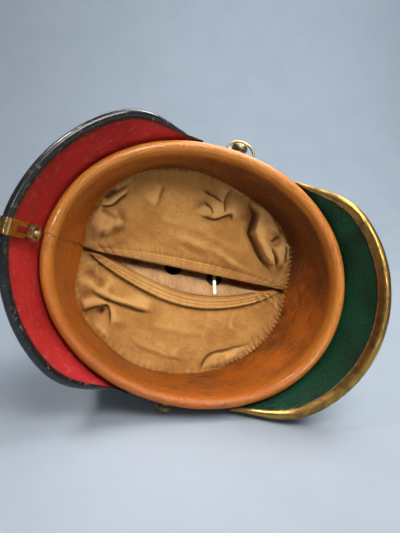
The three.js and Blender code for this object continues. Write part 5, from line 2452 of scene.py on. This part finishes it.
@dataclass
class Studio:
    """Pale seamless paper, soft lamps and the photo's camera."""

    paper: Colour = (0.33, 0.38, 0.44)
    shade: Colour = (0.315, 0.365, 0.425)
    half_width: float = 3.0
    near: float = -2.0
    bend_from: float = 0.55
    bend_radius: float = 0.7
    top: float = 2.4
    room: Colour = (0.85, 0.92, 1)
    room_strength: float = 0.07
    lamps: tuple[Lamp, ...] = (
        Lamp("main", (0.24, -0.74, 0.95), (0, -0.06, 0.1), 0.6, 11.5, (1, 0.97, 0.93)),
        Lamp("hollow", (0.06, -1.2, 0.42), (0.01, 0, 0.094), 0.08, 0.07, (1, 0.95, 0.88), 14),
        Lamp("overhead", (0.65, 0.1, 1.1), (0, 0, 0.08), 0.3, 6, (1, 0.98, 0.95)),
        Lamp("top", (-0.45, -0.15, 1.0), (-0.1, -0.09, 0.145), 0.2, 0.085, (1, 0.98, 0.96), 13),
        Lamp("back", (0.5, 0.5, 1.5), (0.3, 0.8, 0.3), 1.0, 19, (0.95, 0.98, 1)),
    )
    focal_pixels: float = 520
    image: tuple[int, int] = (400, 533)
    sensor: float = 36
    right: Spot = (0.94605, -0.28339, -0.1571)
    down: Spot = (0.28347, 0.95872, -0.02238)
    ahead: Spot = (0.15696, -0.02336, 0.98733)
    eye: Spot = (-55.34, 1.67, -342.0)

    def floor(self) -> None:
        """Makes the seamless floor and backdrop."""
        angle = np.linspace(0, math.pi / 2, 40)
        bend = self.bend_radius * vec(np.sin(angle), 1 - np.cos(angle))
        bend[:, 0] += self.bend_from
        line = np.concatenate([[[self.near, 0]], bend, [[bend[-1, 0], self.top]]])
        points = [(x, y, z) for x in (-self.half_width, self.half_width) for y, z in line]
        count = len(line)
        faces = [(k, k + count, k + count + 1, k + 1) for k in range(count - 1)]
        mesh = bpy.data.meshes.new("floor_paper")
        mesh.from_pydata(points, [], faces)
        mesh.polygons.foreach_set("use_smooth", np.ones(len(faces), bool))
        mesh.materials.append(Plain("floor_paper", self.paper, self.shade, 0.85, 12).make())
        shown("floor_paper", mesh)

    def lights(self) -> None:
        """Hangs the lamps and sets the room's own light."""
        for lamp in self.lamps:
            lamp.hang()
        world = bpy.data.worlds.new("room")
        world.use_nodes = True
        ground = world.node_tree.nodes["Background"]
        ground.inputs["Color"].default_value = (*self.room, 1)
        ground.inputs["Strength"].default_value = self.room_strength
        bpy.context.scene.world = world
        bpy.context.scene.view_settings.view_transform = "Standard"

    def camera(self) -> None:
        """Sets the camera at the photo's place and angle."""
        data = bpy.data.cameras.new("photo_camera")
        data.sensor_width = self.sensor
        data.lens = self.focal_pixels * self.sensor / max(self.image)
        data.clip_start = 0.01
        camera = shown("photo_camera", data)
        axes = LIE.axes() @ np.array([self.right, self.down, self.ahead]).T
        turn = Matrix([[axes[k, 0], -axes[k, 1], -axes[k, 2]] for k in range(3)])
        camera.matrix_world = Matrix.Translation(LIE.place(np.array(self.eye))) @ turn.to_4x4()
        bpy.context.scene.camera = camera


def main() -> None:
    """Builds the sub-assemblies in order, then the studio."""
    logging.basicConfig(level=logging.INFO, format="%(message)s")
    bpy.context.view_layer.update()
    finishes = Finishes()
    SHELL.build(finishes)
    FRONT_VISOR.build(finishes.green, finishes.lacquer)
    FRONT_TRIM.build(finishes.trim)
    REAR_VISOR.build(finishes.red, finishes.lacquer)
    REAR_EDGING.build(finishes.binding)
    Spine().build(finishes)
    BAND.build(finishes)
    Lining().build(finishes)
    SpikeSet().build(finishes)
    for post in (SidePost(Side.LEFT, 3.6, 17), SidePost(Side.RIGHT, 1.5, 70)):
        post.build(finishes)
    studio = Studio()
    studio.floor()
    studio.lights()
    studio.camera()


if __name__ == "__main__":
    main()
